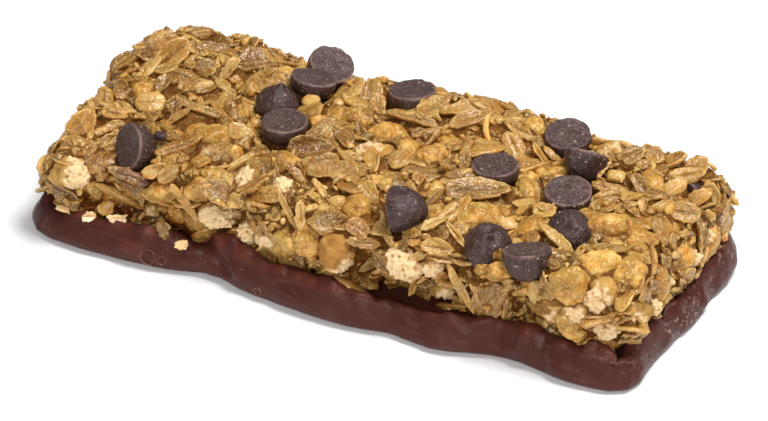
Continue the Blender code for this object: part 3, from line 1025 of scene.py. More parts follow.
def whole_flake():
    length = rng.uniform(4.8, 8.0)
    width = length * rng.uniform(0.4, 0.66)
    breaks = rng.choice((0, 0, 1, 1, 2, 2))
    return flake(rng, length, width, rng.uniform(0.55, 0.9), oat_colour(rng), 28, breaks)


def sliver():
    length = rng.uniform(3.0, 7.0)
    return flake(rng, length, rng.uniform(0.8, 1.5), rng.uniform(0.6, 1.0), oat_colour(rng), 18, rng.integers(0, 2), 0.6)


def rice_crisp():
    length = rng.uniform(3.6, 6.2)
    return crisp(rng, length, length * rng.uniform(0.6, 0.85), length * rng.uniform(0.5, 0.65), pick(rng, (1, CRISP_GOLDS)))


def small_crumb():
    size = 0.4 + 1.0 * rng.random() ** 2
    colour = pick(rng, (3, TANS), (4, GOLDS), (1, BROWNS), (3.5, PALES))
    return crumb(rng, size, colour, 2 if size > 0.6 else 1)


def strew(side, kind, make, per_area, tries, least_depth, **how):
    """Lays things of one kind on a side, deepest spots first, until its share of them is used up."""
    count = int(AREA[side.name] * per_area)
    placed = 0
    for _ in range(count):
        spot, depth = side.lowest_spot(rng, tries)
        if depth < least_depth:
            continue
        tilt = random_tilt(how.get("usual_tilt", 0.12), how.get("steep_share", 0.12))
        placed += lay(
            every,
            side,
            kind,
            make(),
            spot,
            random_turn(),
            tilt,
            how.get("sink", 0.1),
            how.get("drape", 0.4),
            how.get("proud", 0.6),
        )
    return placed


def fringe(side, kind, make, per_area, proud):
    """Wedges things into a side wall in layers, lying as the pressed layers do, with their edges showing."""
    placed = 0
    for _ in range(int(AREA[side.name] * per_area)):
        spot, _ = side.lowest_spot(rng, 6)
        lean = rng.normal(0, 0.32, 2)
        normal = (lean[0], lean[1], 1.0)
        placed += lodge(every, side, kind, make(), spot, normal, random_turn(), rng.uniform(*proud))
    return placed


# Things that stand out. Flakes: spot on the side, lean and swing in degrees, length, width, and colours to pick from.
TOP_FLAKES = (
    ((-33.8, 7.8), 45, 35, 5.6, 3.2, GOLDS),
    ((-37.0, 11.2), 30, 20, 4.6, 2.8, GOLDS),
    ((-33.0, 14.2), 20, 10, 3.2, 2.2, GOLDS),
    ((-29.2, 11.6), 20, -10, 6.0, 1.5, TANS),
    ((-25.8, 8.0), 45, 55, 4.0, 1.8, PALES),
    ((-28.4, 6.8), 45, 5, 3.2, 2.7, TANS),
    ((-39.0, -9.0), 50, 50, 5.4, 3.5, GOLDS),
    ((-38.2, -3.8), 60, 85, 4.4, 2.4, GOLDS),
    ((-35.8, -5.6), 20, -15, 3.8, 2.0, PALES),
    ((-33.0, -0.8), 30, 0, 4.4, 3.3, PALES),
    ((-34.6, -9.2), 30, 50, 3.5, 1.0, PALES),
    ((-28.0, -3.6), 30, 35, 5.4, 1.0, TANS),
    ((-25.6, -0.6), 20, -20, 8.4, 1.3, TANS),
    ((-31.0, 1.2), 20, 35, 3.0, 1.3, PALES),
    ((-29.0, -1.6), 40, 75, 2.4, 1.8, TANS),
    ((-37.2, -0.8), 40, 0, 2.4, 2.9, TANS),
    ((-25.0, -8.8), 35, 20, 6.6, 2.9, GOLDS),
    ((-20.2, -7.4), 30, 20, 4.6, 2.6, TANS),
    ((-19.0, -2.8), 30, -15, 3.6, 2.6, PALES),
    ((-25.6, 5.8), 30, -40, 3.0, 1.4, PALES),
    ((-22.4, 13.0), 30, -50, 3.2, 0.9, PALES),
    ((-9.2, 0.8), 30, 30, 5.0, 1.8, TANS),
    ((-8.8, -3.4), 30, 5, 6.5, 2.9, BROWNS),
    ((0.8, 7.9), 20, -20, 7.0, 1.9, TANS),
    ((-7.8, -9.6), 40, -50, 3.6, 1.3, GOLDS),
    ((5.8, 11.6), 20, 15, 5.6, 2.2, GOLDS),
    ((7.6, 10.6), 20, 20, 6.0, 2.4, TANS),
    ((14.8, 8.0), 30, -70, 4.6, 2.9, GOLDS),
    ((14.4, 10.6), 30, -35, 4.6, 1.9, TANS),
    ((18.4, 8.3), 30, -60, 4.0, 0.9, PALES),
    ((20.8, 8.4), 20, -50, 6.0, 1.2, GOLDS),
    ((14.4, -2.8), 25, 0, 8.6, 3.6, TANS),
    ((13.4, -0.6), 30, -10, 8.0, 1.9, TANS),
    ((21.4, 0.2), 45, -90, 2.8, 1.0, GOLDS),
    ((23.8, -3.0), 30, 0, 3.2, 2.2, PALES),
    ((27.8, -9.0), 20, -50, 7.2, 1.5, PALES),
    ((13.6, -8.6), 30, 40, 5.6, 2.6, GOLDS),
    ((15.2, -8.8), 30, 60, 3.6, 1.8, PALES),
    ((12.4, -11.8), 10, 30, 4.0, 1.5, PALES),
    ((15.6, -12.4), 40, -55, 4.4, 0.9, PALES),
    ((27.4, 7.6), 30, 55, 3.6, 0.6, PALES),
    ((29.8, 4.4), 20, -20, 5.4, 1.6, GOLDS),
    ((32.8, 7.1), 40, -60, 4.2, 2.1, TANS),
    ((36.6, 8.2), 40, 30, 4.3, 2.4, PALES),
    ((39.8, 4.2), 40, -15, 4.2, 2.8, TANS),
    ((40.4, 11.6), 60, -90, 4.8, 2.8, GOLDS),
    ((37.4, 13.6), 50, 45, 4.8, 2.8, TANS),
    ((37.2, 11.6), 40, 10, 5.0, 2.2, PALES),
    ((39.4, 9.6), 45, 30, 4.4, 2.2, GOLDS),
    ((29.8, 11.6), 35, 25, 3.6, 2.3, TANS),
    ((32.0, 13.0), 35, -25, 3.6, 2.3, GOLDS),
    ((-4.8, -7.2), 30, 5, 5.2, 3.8, TANS),
    ((2.4, -9.6), 45, -60, 4.0, 2.7, GOLDS),
    ((9.6, -5.2), 40, 40, 3.4, 1.7, TANS),
)
FRONT_FLAKES = (
    ((-31.2, 7.4), 70, -30, 6.6, 1.5, PALES),
    ((-29.4, 11.4), 60, -20, 6.0, 1.9, BROWNS),
    ((-26.2, 12.6), 60, 15, 3.6, 1.9, PALES),
    ((-24.0, 12.8), 60, 30, 3.5, 2.2, PALES),
    ((-7.0, 12.6), 55, -65, 5.0, 1.0, GOLDS),
    ((-4.8, 12.6), 60, -90, 4.0, 1.4, PALES),
    ((17.4, 8.4), 75, -62, 7.6, 1.3, PALES),
    ((19.4, 9.2), 75, -75, 4.6, 0.9, GOLDS),
    ((36.6, 5.4), 80, -12, 4.0, 1.8, GOLDS),
    ((4.0, 11.2), 60, -8, 4.6, 1.5, TANS),
    ((2.0, 12.6), 50, 5, 4.8, 0.9, PALES),
    ((4.2, 6.8), 70, 38, 4.8, 1.2, TANS),
    ((5.2, 5.4), 70, 33, 3.4, 1.1, PALES),
    ((10.8, 6.4), 80, 67, 3.0, 0.8, PALES),
    ((-1.0, 12.8), 55, 0, 5.2, 3.3, TANS),
    ((2.8, 12.6), 55, -30, 3.4, 2.6, GOLDS),
    ((13.8, 13.0), 55, -10, 4.8, 2.1, GOLDS),
    ((14.8, 12.0), 60, -13, 4.6, 1.0, TANS),
)
# Puffed crisps: spot, width, height and depth, and how much of each is broken open.
TOP_CRISPS = (
    ((-24.8, -3.4), 3.4, 3.4, 2.6, 0.0),
    ((-6.6, 6.6), 5.0, 3.4, 2.6, 0.0),
    ((-1.8, 5.0), 5.6, 3.8, 2.8, 0.0),
    ((-1.4, 0.2), 5.4, 3.6, 2.6, 0.25),
    ((9.2, -4.0), 2.9, 3.4, 2.4, 0.0),
    ((19.8, 1.4), 3.4, 4.2, 2.8, 0.0),
    ((15.6, 12.8), 3.0, 3.0, 2.6, 0.0),
    ((26.2, 13.4), 3.8, 3.0, 2.8, 0.15),
    ((32.6, -3.6), 6.6, 3.8, 3.0, 0.0),
    ((36.2, -3.0), 6.0, 4.2, 3.0, 0.0),
    ((34.4, -10.6), 7.0, 4.0, 3.4, 0.0),
    ((38.4, -10.6), 4.2, 4.8, 3.2, 0.0),
    ((-14.4, -10.2), 3.8, 4.4, 2.8, 0.55),
    ((-8.8, -11.2), 3.0, 2.8, 2.4, 0.4),
    ((-18.6, -10.2), 1.6, 1.6, 1.5, 0.3),
    ((6.0, 2.6), 4.6, 3.4, 2.6, 0.0),
)
FRONT_CRISPS = (
    ((-37.2, 10.0), 5.0, 4.0, 3.2, 0.6),
    ((-16.8, 8.6), 5.2, 4.2, 3.2, 0.5),
    ((-12.6, 7.2), 3.2, 3.0, 2.6, 0.6),
    ((-9.6, 7.0), 4.2, 3.4, 2.8, 0.5),
    ((-3.6, 9.4), 5.0, 4.6, 3.4, 0.0),
    ((0.6, 8.8), 5.2, 5.0, 3.6, 0.3),
    ((9.8, 10.2), 5.4, 5.2, 3.8, 0.5),
    ((14.2, 5.6), 4.0, 3.4, 3.0, 0.35),
    ((13.4, 10.2), 3.8, 2.8, 2.4, 0.6),
    ((20.6, 12.2), 2.4, 2.4, 2.2, 0.0),
    ((23.0, 12.6), 3.8, 2.6, 2.4, 0.0),
    ((30.0, 8.8), 4.4, 3.6, 3.0, 0.15),
    ((33.4, 9.6), 3.6, 2.8, 2.6, 0.3),
    ((37.0, 7.6), 4.0, 3.4, 3.0, 0.6),
    ((32.2, 13.0), 5.4, 5.2, 3.4, 0.0),
    ((36.0, 12.2), 4.8, 4.4, 3.4, 0.35),
    ((-24.4, 10.2), 5.4, 2.8, 2.6, 0.0),
    ((-19.2, 12.0), 4.2, 3.0, 2.6, 0.0),
    ((-32.2, 6.2), 3.4, 3.2, 2.8, 0.0),
    ((-26.6, 6.4), 1.9, 2.0, 1.8, 0.3),
    ((-23.0, 6.8), 3.2, 3.0, 2.6, 0.0),
)
RIGHT_CRISPS = (
    ((-12.0, 9.4), 4.0, 4.2, 3.0, 0.2),
    ((-6.0, 10.2), 4.6, 4.0, 3.0, 0.0),
    ((7.8, 8.4), 3.0, 2.2, 2.0, 0.7),
    ((3.4, 7.8), 3.4, 2.4, 2.2, 0.7),
    ((-2.6, 7.8), 2.6, 2.2, 2.0, 0.65),
    ((-7.6, 7.4), 3.0, 2.2, 2.0, 0.6),
)
FRONT_HOLLOWS = ((-13.4, 9.6, 1.3), (-34.4, 7.0, 1.4), (4.2, 9.2, 1.4), (4.4, 6.4, 1.8), (8.6, 5.0, 1.9), (12.0, 5.0, 1.3), (26.4, 6.4, 1.6))
TOP_HOLLOWS = ((-31.2, 0.9, 1.1), (-20.0, 2.3, 1.1))

large_flakes, large_crisps, bits = Kind("large_flakes"), Kind("large_crisps"), Kind("small_bits")
for x, z, radius in FRONT_HOLLOWS:
    sides["front"].hollow((x, z), radius, 2.2)
for x, y, radius in TOP_HOLLOWS:
    sides["top"].hollow((x, y), radius, 1.8)
for side_name, rows in (("top", TOP_CRISPS), ("front", FRONT_CRISPS), ("right", RIGHT_CRISPS)):
    for spot, width, height, depth, open_share in rows:
        tint = pick(rng, (1, CRISP_GOLDS))
        lean = 10 if side_name == "top" else 75
        if open_share:
            thing, kind = broken_crisp(rng, width, height, depth, tint, open_share), broken
        else:
            thing, kind = crisp(rng, width, height, depth, tint, 5), large_crisps
        show(every, sides[side_name], kind, thing, spot, lean, 0, -0.30 * depth, 0.55)
for side_name, rows in (("top", TOP_FLAKES), ("front", FRONT_FLAKES)):
    for spot, lean, swing, length, width, tones in rows:
        thing = flake(rng, length, width, min(0.75, 0.4 * width), pick(rng, (1, tones)), 30, 0)
        show(every, sides[side_name], large_flakes, thing, spot, lean, swing)
show(every, sides["top"], bits, chunk(rng, 2.3, 1.9, 1.5, pick(rng, (1, PALES))), (-13.0, 6.0), 25, 40, 0.5)
show(every, sides["top"], bits, chunk(rng, 2.4, 1.6, 1.4, pick(rng, (1, PALES))), (29.4, 6.8), 25, -10, 0.4)
show(every, sides["top"], bits, chunk(rng, 1.7, 1.3, 1.3, pick(rng, (1, PALES))), (-10.6, 2.4), 25, 20, 0.3)
show(every, sides["top"], bits, strand(rng, 4.6, 0.7, -0.7, CREAM), (11.4, 8.6), 40, -82, 0.7)


def set_down(kind, thing, place, lean, swing):
    """Puts a thing at a place in mm, its flat side leaning towards the front by so many degrees."""
    lean, swing = math.radians(lean), math.radians(swing)
    out = np.array((0.3 * math.sin(lean), -0.95 * math.sin(lean), math.cos(lean)))
    level = unit(np.cross((0.3, -0.95, 0.0), out)) if lean else np.array((1.0, 0.0, 0.0))
    level = unit(np.cross(np.cross(out, (1.0, 0.0, 0.0)), out))
    along = level * math.cos(swing) + np.cross(out, level) * math.sin(swing)
    world = thing.points @ np.array((along, np.cross(out, along), out)) + place
    record(every, kind, thing, world)


WHITES = [linear(244, 232, 208) / HUE, linear(236, 220, 190) / HUE]
FOOT_BITS = (
    ((-37.6, -16.5, 4.9), 60, -8, 2.8, 1.2, WHITES),
    ((-34.6, -16.4, 4.9), 60, 10, 2.4, 1.5, WHITES),
    ((-30.0, -15.7, 5.5), 60, 10, 3.4, 1.9, WHITES),
    ((-20.8, -16.3, 4.4), 60, 20, 2.4, 1.3, WHITES),
    ((-23.6, -15.9, 5.7), 60, -50, 3.4, 1.9, TANS),
    ((-32.6, -15.2, 5.6), 60, 60, 3.0, 2.2, GOLDS),
)
for place, lean, swing, length, width, tones in FOOT_BITS:
    thing = flake(rng, length, width, 0.6, pick(rng, (1, tones)), 24, 2)
    set_down(large_flakes, thing, place, lean, swing)

made = {}
for side in every:
    wall = side.name != "top"
    made[side.name, "pieces"] = strew(side, pieces, small_piece, 0.10, 5, 0.5, sink=0.15)
    made[side.name, "crisps"] = strew(side, crisps, rice_crisp, 0.035, 8, 0.6, sink=0.9, drape=0)
    if wall:
        made[side.name, "fringe"] = fringe(side, flakes, whole_flake, 0.05, (-0.5, 0.7))
        made[side.name, "fringe small"] = fringe(side, pieces, broken_flake, 0.08, (-0.3, 0.6))
for side in every:
    made[side.name, "flakes"] = strew(side, flakes, whole_flake, 0.10, 8, 0.3, drape=0.3, usual_tilt=0.18, steep_share=0.3)
    made[side.name, "broken"] = strew(side, pieces, broken_flake, 0.16, 8, 0.3, drape=0.3, usual_tilt=0.2, steep_share=0.3)
    made[side.name, "slivers"] = strew(side, slivers, sliver, 0.06, 6, 0.2, drape=0.3)
    made[side.name, "pieces 3"] = strew(side, pieces, small_piece, 0.16, 14, 0.5, drape=0.3)
for side in every:
    made[side.name, "crumbs"] = strew(side, crumbs, small_crumb, 0.31, 3, -0.6, drape=0, sink=0.15, proud=1.0)
print("placed", made)

for side in every:
    side.final = smoothed(side.field, 5)


def depth_below(points):
    """How deep points lie below the finished surface, by the side nearest to them."""
    deep = np.full(len(points), np.inf)
    for side in every:
        local = points @ side.axes.T
        rows, columns = side.index(local)
        below = side.final[rows, columns] - local[:, 2]
        inside = (local[:, :2] > side.low).all(1) & (local[:, :2] < side.low + (side.shape - 1) * CELL).all(1)
        deep = np.where(inside & np.isfinite(below), np.minimum(deep, below), deep)
    return np.where(np.isfinite(deep), deep, 0.0)


def away_from(points, start, end):
    """How far points lie from a line between two places."""
    start, end = np.array(start), np.array(end)
    along = np.clip((points - start) @ (end - start) / ((end - start) @ (end - start)), 0, 1)
    return np.linalg.norm(points - start - along[:, None] * (end - start), axis=1)


STAINS = (((-33.2, -13.4, 11.6), (-30.0, -13.9, 11.4), 1.6), ((-28.8, -14.0, 11.4), (-26.6, -13.9, 11.2), 1.3))
STAIN = np.array((0.38, 0.12, 0.12))  # what chocolate smeared on the oats leaves of their red, green and blue


def shaded(points, tint):
    """Colours drawn towards what neighbours share, with painted shade: darkened towards amber the deeper a point lies
    in the crevices.
    """
    warm = 0.5 + 0.5 * fractal(points, 6.0, 2, 41)[:, None]
    shared = SHARED_LOW + (SHARED_HIGH - SHARED_LOW) * np.clip(warm, 0, 1)
    light = (tint @ LUMA)[:, None] / LIGHTNESS
    blend = BLEND * np.clip(2.9 - light, 0, 1)
    tint = tint * (1 - blend) + shared * light * blend
    # painted shade: the deeper a point lies below the finished surface, the darker and more amber it is drawn
    share = np.clip((depth_below(points) - 0.1) / 1.1, 0, 1)[:, None]
    tint = tint * (1 - share * (1 - CREVICE_SHADE))
    for start, end, wide in STAINS:
        smeared = np.exp(-((away_from(points, start, end) / wide) ** 2)) * np.clip(0.7 + fractal(points, 1.2, 2, 19), 0, 1)
        tint = tint * (1 - smeared[:, None] * (1 - STAIN))
    return tint


oat_look = oat_material("oat_flakes", 0.6, 0.5)
crisp_look = oat_material("puffed_crisps", 0.4, 0.55, streaks=False)
foam_look = foam_material("broken_crisps")
for kind, look in ((flakes, oat_look), (large_flakes, oat_look), (pieces, oat_look), (slivers, oat_look), (crisps, crisp_look), (large_crisps, crisp_look), (broken, foam_look), (bits, crisp_look), (crumbs, oat_look)):
    if not kind.count:
        continue
    points = np.concatenate(kind.points)
    tint = shaded(points, np.concatenate(kind.tints))
    open_to_light = np.clip(1.1 - depth_below(points) / 0.9, 0, 1)
    item = mesh_object(kind.name, points, np.concatenate(kind.faces), look, tint, np.concatenate(kind.grains), open_to_light)
    print(kind.name, len(item.data.polygons))

# ---------------------------------------------------------------- the core and the chocolate

points, quads, normals = remeshed(nodes["granola"], 0.47)
points = relaxed(points, quads, 3)
points = points - normals * (CORE_DEPTH + 0.2)
for _ in range(3):
    gap = depth_below(points) - GLAZE_DEPTH - WALL_DEPTH * (1 - np.clip(normals[:, 2], 0, 1)) - 0.2 * fractal(points, 1.6, 2, 3)
    points = points + normals * np.clip(gap, -0.2, 1.0)[:, None] * 0.7
points = relaxed(points, quads, 1)
tint = CORE_TINT * (1 + 0.3 * fractal(points, 1.4, 2, 5))[:, None]
core = mesh_object("syrup_core", points, quads, syrup_material("syrup"), shaded(points, tint))
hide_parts("granola")

# Swellings and folds of the chocolate: from, to, radius and how far they rise, in mm.
CHOCOLATE_FOLDS = (
    ((-28.7, -17.9, 2.9), (-26.9, -17.9, 2.7), 0.9, 0.4),
    ((-20.2, -14.4, 6.2), (-18.4, -15.0, 5.4), 1.3, -1.0),
    ((-19.2, -14.8, 5.8), (-14.4, -17.0, 2.4), 0.8, -0.6),
    ((-18.2, -15.6, 6.4), (-13.0, -17.4, 3.0), 0.7, 0.4),
    ((33.6, -15.6, 5.0), (38.4, -16.4, 4.6), 1.1, 1.2),
    ((27.4, -15.6, 6.0), (26.0, -17.2, 2.6), 0.7, 0.7),
    ((29.3, -16.0, 5.6), (29.8, -17.8, 1.5), 0.9, -0.5),
    ((23.6, -15.8, 5.2), (22.8, -17.6, 1.6), 1.2, -0.35),
    ((41.6, -8.0, 5.6), (43.4, -7.0, 2.0), 0.8, 0.5),
    ((43.0, 3.0, 5.0), (44.0, 3.4, 1.6), 0.9, 0.5),
)
BUBBLE_RIMS = ((-25.2, -17.95, 2.1, 1.0), (-23.3, -17.6, 1.9, 0.55), (-24.4, -17.9, 1.2, 0.4), (-9.4, -17.9, 1.6, 0.5), (-40.2, -16.9, 1.6, 0.45))


def torus(centre, outward, radius, thick):
    """A thin ring lying flat on a surface."""
    turns, around = np.meshgrid(np.arange(36) * math.pi / 18, np.arange(8) * math.pi / 4, indexing="ij")
    side = unit(np.cross(outward, (0, 0, 1)))
    upward = np.cross(side, outward)
    reach = radius + thick * np.cos(around)
    points = (reach * np.cos(turns))[..., None] * side + (reach * np.sin(turns))[..., None] * upward
    points = (points + (thick * np.sin(around))[..., None] * outward).reshape(-1, 3) + centre
    row, column = np.meshgrid(np.arange(36), np.arange(8), indexing="ij")
    corner = lambda i, j: (i % 36) * 8 + j % 8
    quads = np.stack([corner(row, column), corner(row + 1, column), corner(row + 1, column + 1), corner(row, column + 1)], axis=-1)
    return points, quads.reshape(-1, 4)


points, quads, normals = remeshed(nodes["chocolate_base"], 0.43)
points = relaxed(points, quads, 4)
standing = np.clip(points[:, 2] / 1.2, 0, 1)
waves = 0.28 * noise(points, 4.5, 2) + 0.16 * noise(points, 1.9, 4) + 0.05 * noise(points, 0.8, 6)
folds = np.zeros(len(points))
for start, end, wide, rise in CHOCOLATE_FOLDS:
    folds += rise * np.exp(-((away_from(points, start, end) / wide) ** 2))
points = points + normals * ((waves + folds) * standing)[:, None] * (1, 1, 0.6)
rim = np.clip((points[:, 2] - 3.2) / 1.2, 0, 1)
points[:, 2] += rim * (0.5 * noise(points * (1, 1, 0), 2.4, 8) + 0.3 * noise(points * (1, 1, 0), 1.1, 9))
points[:, 2] = np.maximum(points[:, 2], 0)
thin = np.clip((points[:, 2] - 4.0) / 1.6, 0, 1) * np.clip(0.4 + 1.2 * fractal(points, 1.8, 2, 31), 0, 1)
oval = np.exp(-((away_from(points, *CHOCOLATE_FOLDS[0][:2]) / 0.9) ** 2))
tint = linear(74, 35, 30) + (linear(112, 56, 38) - linear(74, 35, 30)) * np.clip(thin * 0.7 + 0.35 * oval, 0, 1)[:, None]
low_edge = np.exp(-((points[:, 2] / 0.5) ** 2)) * 0.35
right_end = np.clip((points[:, 0] - 39.5) / 2.5, 0, 1) * np.clip(0.2 + fractal(points, 2.5, 2, 17), 0, 0.6)
chocolate_look = chocolate_material("chocolate")
chocolate = mesh_object("chocolate_foot", points, quads, chocolate_look, tint, None, np.clip(low_edge + right_end, 0, 1))
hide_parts("chocolate_base")
tree = search_tree([chocolate])
ring_points, ring_quads = [], []
for x, y, z, radius in BUBBLE_RIMS:
    place, outward = tree.find_nearest(Vector((x, y, z)))[:2]
    made_points, made_quads = torus(np.array(place), unit(np.array(outward)), radius, 0.07)
    ring_quads.append(made_quads + sum(len(points) for points in ring_points))
    ring_points.append(made_points)
ring_points, ring_quads = np.concatenate(ring_points), np.concatenate(ring_quads)
rings = mesh_object("bubble_rims", ring_points, ring_quads, chocolate_look, linear(110, 68, 56) * np.ones((len(ring_points), 1)), None, np.full(len(ring_points), 0.5))

stick = strand(rng, 4.6, 2.0, 0.15, linear(84, 42, 34))
lie = unit((3.4, -0.8, -0.5))
across = unit(np.cross((0, 0, 1), lie))
stick_points = stick.points @ np.array((lie, across, np.cross(lie, across))) + (37.0, -16.1, 4.9)
covered = mesh_object("covered_stick", stick_points, stick.faces, chocolate_look, stick.tint, None, np.full(len(stick_points), 0.2))

# ---------------------------------------------------------------- chocolate chips

CHIP_SECTIONS = 40
CHIP_TURNS = 96

# Chips that lie another way than packed: number: compass and rise of the flat face, and how far it moves, in mm.
CHIP_TURNED = {8: (188, -11, (0, 0, 0)), 10: (98, 47, (-0.3, 0.3, 0.35))}
CHIP_STRETCHED = {14: 1.15}

# Flats worn or pressed on a chip: compass and rise they face, and the share of the chip's reach that way they leave.
CHIP_FLATS = {
    4: ((35, 5, 0.86), (-130, 55, 0.9)),
    8: ((-115, 5, 0.86), (-45, 50, 0.9)),
    10: ((-150, 0, 0.72), (-30, 0, 0.78), (-75, 20, 0.9)),
    12: ((5, 62, 0.86), (-90, -5, 0.86), (-135, 45, 0.84)),
    13: ((-140, 20, 0.86), (-50, 15, 0.88)),
    14: ((-85, -20, 0.9),),
}

# Hollows and swellings: compass and rise from the chip's middle, radius and depth in mm.
CHIP_DENTS = {
    2: ((-70, -5, 1.6, -0.35),),
    4: ((60, 80, 0.7, -0.5), (20, 70, 0.5, 0.3)),
    8: ((150, 75, 0.9, 0.5), (-100, 60, 0.8, 0.25)),
    12: ((-120, 60, 1.1, 0.5), (-45, 40, 0.7, 0.25)),
    13: ((110, 75, 0.8, 0.8), (-35, 40, 0.7, 0.45), (-90, 60, 0.6, -0.25)),
    14: ((-60, -5, 0.8, 0.2),),
}


def facing(compass, rise):
    compass, rise = math.radians(compass), math.radians(rise)
    return np.array((math.cos(rise) * math.cos(compass), math.cos(rise) * math.sin(compass), math.sin(rise)))


def chip_frame(node):
    """Where a packed chip's flat base is, which way it faces, and the chip's radius and height."""
    points, faces = points_of(node), triangles_of(node)
    corners = points[faces]
    crossed = np.cross(corners[:, 1] - corners[:, 0], corners[:, 2] - corners[:, 0])
    area = np.linalg.norm(crossed, axis=1)
    facing = crossed / area[:, None]
    alike = facing @ facing.T > 0.9995
    flat = alike[np.argmax(alike @ area)]
    normal = unit((facing[flat] * area[flat, None]).sum(0))
    centre = (corners[flat].mean(1) * area[flat, None]).sum(0) / area[flat].sum()
    depth = (points - centre) @ -normal
    radius = np.linalg.norm(points - centre + np.outer(depth, normal), axis=1).max()
    return centre, normal, radius, depth.max()


def chip_profile():
    """(radius share, depth share) from the middle of the base over its rim to the tip."""
    keys = ((0, 0.0), (0.45, 0.004), (0.82, 0.0), (0.93, 0.002), (0.97, 0.012), (0.995, 0.045), (1.0, 0.1), (1.0, 0.3), (0.95, 0.46), (0.82, 0.62), (0.6, 0.78), (0.33, 0.91), (0.12, 0.975), (0, 1.0))
    keys = np.array(keys)
    walked = np.concatenate([[0], np.cumsum(np.linalg.norm(np.diff(keys, axis=0), axis=1))])
    steps = np.linspace(0, walked[-1], CHIP_SECTIONS)
    return np.column_stack([np.interp(steps, walked, keys[:, k]) for k in range(2)])


def chip(number, node, look):
    """A chocolate chip in a packed chip's place, with its own flats, hollows, flutes and rubbed rim."""
    centre, normal, radius, height = chip_frame(node)
    if number in CHIP_TURNED:
        compass, rise, moved = CHIP_TURNED[number]
        turned_to = facing(compass, rise)
        centre = centre + (turned_to - normal) * 0.42 * height + moved
        normal = turned_to
    height *= CHIP_STRETCHED.get(number, 1)
    own = np.random.default_rng(100 + number)
    offset = own.uniform(-500, 500, 3)
    profile = chip_profile()
    angle = np.arange(CHIP_TURNS) * 2 * math.pi / CHIP_TURNS
    round_shape = 1 + 0.02 * np.cos(2 * angle + own.uniform(0, 6)) + 0.014 * np.cos(3 * angle + own.uniform(0, 6))
    rings = [np.zeros(3)]
    for share, depth in profile[1:-1]:
        ring = np.stack([np.cos(angle) * share * round_shape, np.sin(angle) * share * round_shape, np.full(CHIP_TURNS, -depth)], axis=1)
        rings.append(ring * (radius, radius, height))
    rings.append(np.array((0, 0, -height)))
    points, faces = closed_rings(rings)
    grain = points + offset
    base = np.clip(1 + points[:, 2] / (0.04 * height), 0, 1)
    edge = np.linalg.norm(points[:, :2], axis=1) / radius
    out = unit_rows(points + (0, 0, 0.42 * height))
    flutes = 0.07 * noise(points * (1, 1, 0.1) + offset, 0.42) * (1 - base)
    lumps = 0.09 * noise(grain, 1.3) + 0.04 * noise(grain, 0.6, 3)
    chipped = -0.3 * np.clip(noise(grain, 1.1, 12) - 0.35, 0, 1) * np.exp(-(((edge - 1) / 0.1) ** 2)) * np.exp(-((points[:, 2] / 0.5) ** 2))
    points = points + out * ((flutes + lumps + chipped) * np.clip(edge * 1.5, 0, 1))[:, None]
    points[:, 2] += base * (0.06 * noise(grain, 0.9, 8) - 0.07 * (1 - edge**4))
    along = unit(np.cross(normal, (0.3, 0.9, 0.2)))
    turned = np.column_stack([along, np.cross(normal, along), normal])
    middle = np.array((0, 0, -0.42 * height))
    for compass, rise, left in CHIP_FLATS.get(number, ()):
        way = facing(compass, rise) @ turned
        over = (points - middle) @ way
        points = points - np.outer(np.clip(over - left * over.max(), 0, None) * 0.85, way)
    for compass, rise, wide, deep in CHIP_DENTS.get(number, ()):
        way = facing(compass, rise) @ turned
        aim = unit_rows(points - middle) @ way
        spot = points[np.argmax(aim)]
        near = np.exp(-((np.linalg.norm(points - spot, axis=1) / wide) ** 2))
        points = points - np.outer(near * deep, way)
    bloom = base * np.clip(1.15 - edge**6, 0, 1)
    rim = np.exp(-(((edge - 0.97) / 0.05) ** 2)) * np.exp(-((points[:, 2] / 0.3) ** 2)) * np.clip(0.85 + 1.2 * noise(grain, 1.4, 21), 0, 1)
    tint = linear(56, 33, 28) + (linear(146, 114, 102) - linear(56, 33, 28)) * rim[:, None]
    made = mesh_object("chocolate_" + node.name, points @ turned.T + centre, faces, look, tint, grain, bloom)
    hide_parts(node.name)
    return made


chip_look = chip_material("chip_chocolate")
for number, node in enumerate(chip_nodes, start=1):
    chip(number, node, chip_look)

fragment = chunk(rng, 1.6, 1.1, 1.0, linear(58, 36, 32))
place = np.array((-27.8, -8.3, 14.3))
piece = mesh_object("chip_fragment", fragment.points + place, fragment.faces, chip_look, fragment.tint, fragment.grain, np.full(len(fragment.points), 0.3))

# ---------------------------------------------------------------- floor, light and camera


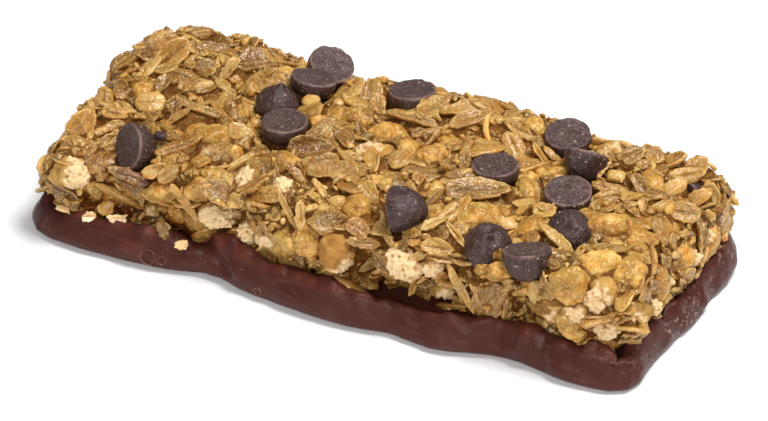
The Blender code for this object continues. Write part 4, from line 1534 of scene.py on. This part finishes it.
def area_light(name, place, size, power, colour=(1, 1, 1)):
    data = bpy.data.lights.new(name, "AREA")
    data.shape = "DISK"
    data.size, data.energy, data.color = size, power, colour
    made = bpy.data.objects.new(name, data)
    made.location = place
    made.rotation_mode = "QUATERNION"
    made.rotation_quaternion = (Vector((0, 0, 0.01)) - made.location).to_track_quat("-Z", "Y")
    bpy.context.scene.collection.objects.link(made)
    return made


def floor():
    mesh = bpy.data.meshes.new("floor")
    half = 1.5
    mesh.from_pydata([(-half, -half, 0), (half, -half, 0), (half, half, 0), (-half, half, 0)], [], [(0, 1, 2, 3)])
    look = Graph("floor")
    grain = look.noise(look.place(), 40.0, 3.0)
    colour = look.mix(grain, (0.93, 0.93, 0.93), (0.95, 0.95, 0.95))
    mesh.materials.append(look.finish(Base_Color=colour, Roughness=0.9))
    made = bpy.data.objects.new("floor", mesh)
    bpy.context.scene.collection.objects.link(made)
    made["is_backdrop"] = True


def camera():
    right = Vector((0.9107, 0.4131, 0.0))
    up = Vector((-0.2399, 0.5288, 0.8141))
    back = Vector((0.3363, -0.7414, 0.5807))
    target = Vector((1.667, -3.373, 8.0)) * MM
    data = bpy.data.cameras.new("camera")
    data.sensor_width, data.lens = 36, 219.1
    data.clip_start, data.clip_end = 0.01, 10
    made = bpy.data.objects.new("camera", data)
    turn = Matrix((right, up, back)).transposed().to_4x4()
    made.matrix_world = Matrix.Translation(target + back * 0.6) @ turn
    bpy.context.scene.collection.objects.link(made)
    bpy.context.scene.camera = made


def world_light(strength):
    world = bpy.data.worlds.new("studio")
    world.use_nodes = True
    world.node_tree.nodes["Background"].inputs["Color"].default_value = (1, 1, 1, 1)
    world.node_tree.nodes["Background"].inputs["Strength"].default_value = strength
    bpy.context.scene.world = world


floor()
camera()
world_light(0.24)
area_light("key", (0.13, 0.05, 0.42), 0.2, 2.0)
area_light("fill", (0.12, -0.42, 0.30), 0.25, 1.4)
view = bpy.context.scene.view_settings
view.view_transform = "Standard"
view.look = "None"
view.exposure = 0.0
view.gamma = 1.0

visual_box = [list(corner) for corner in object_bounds()]
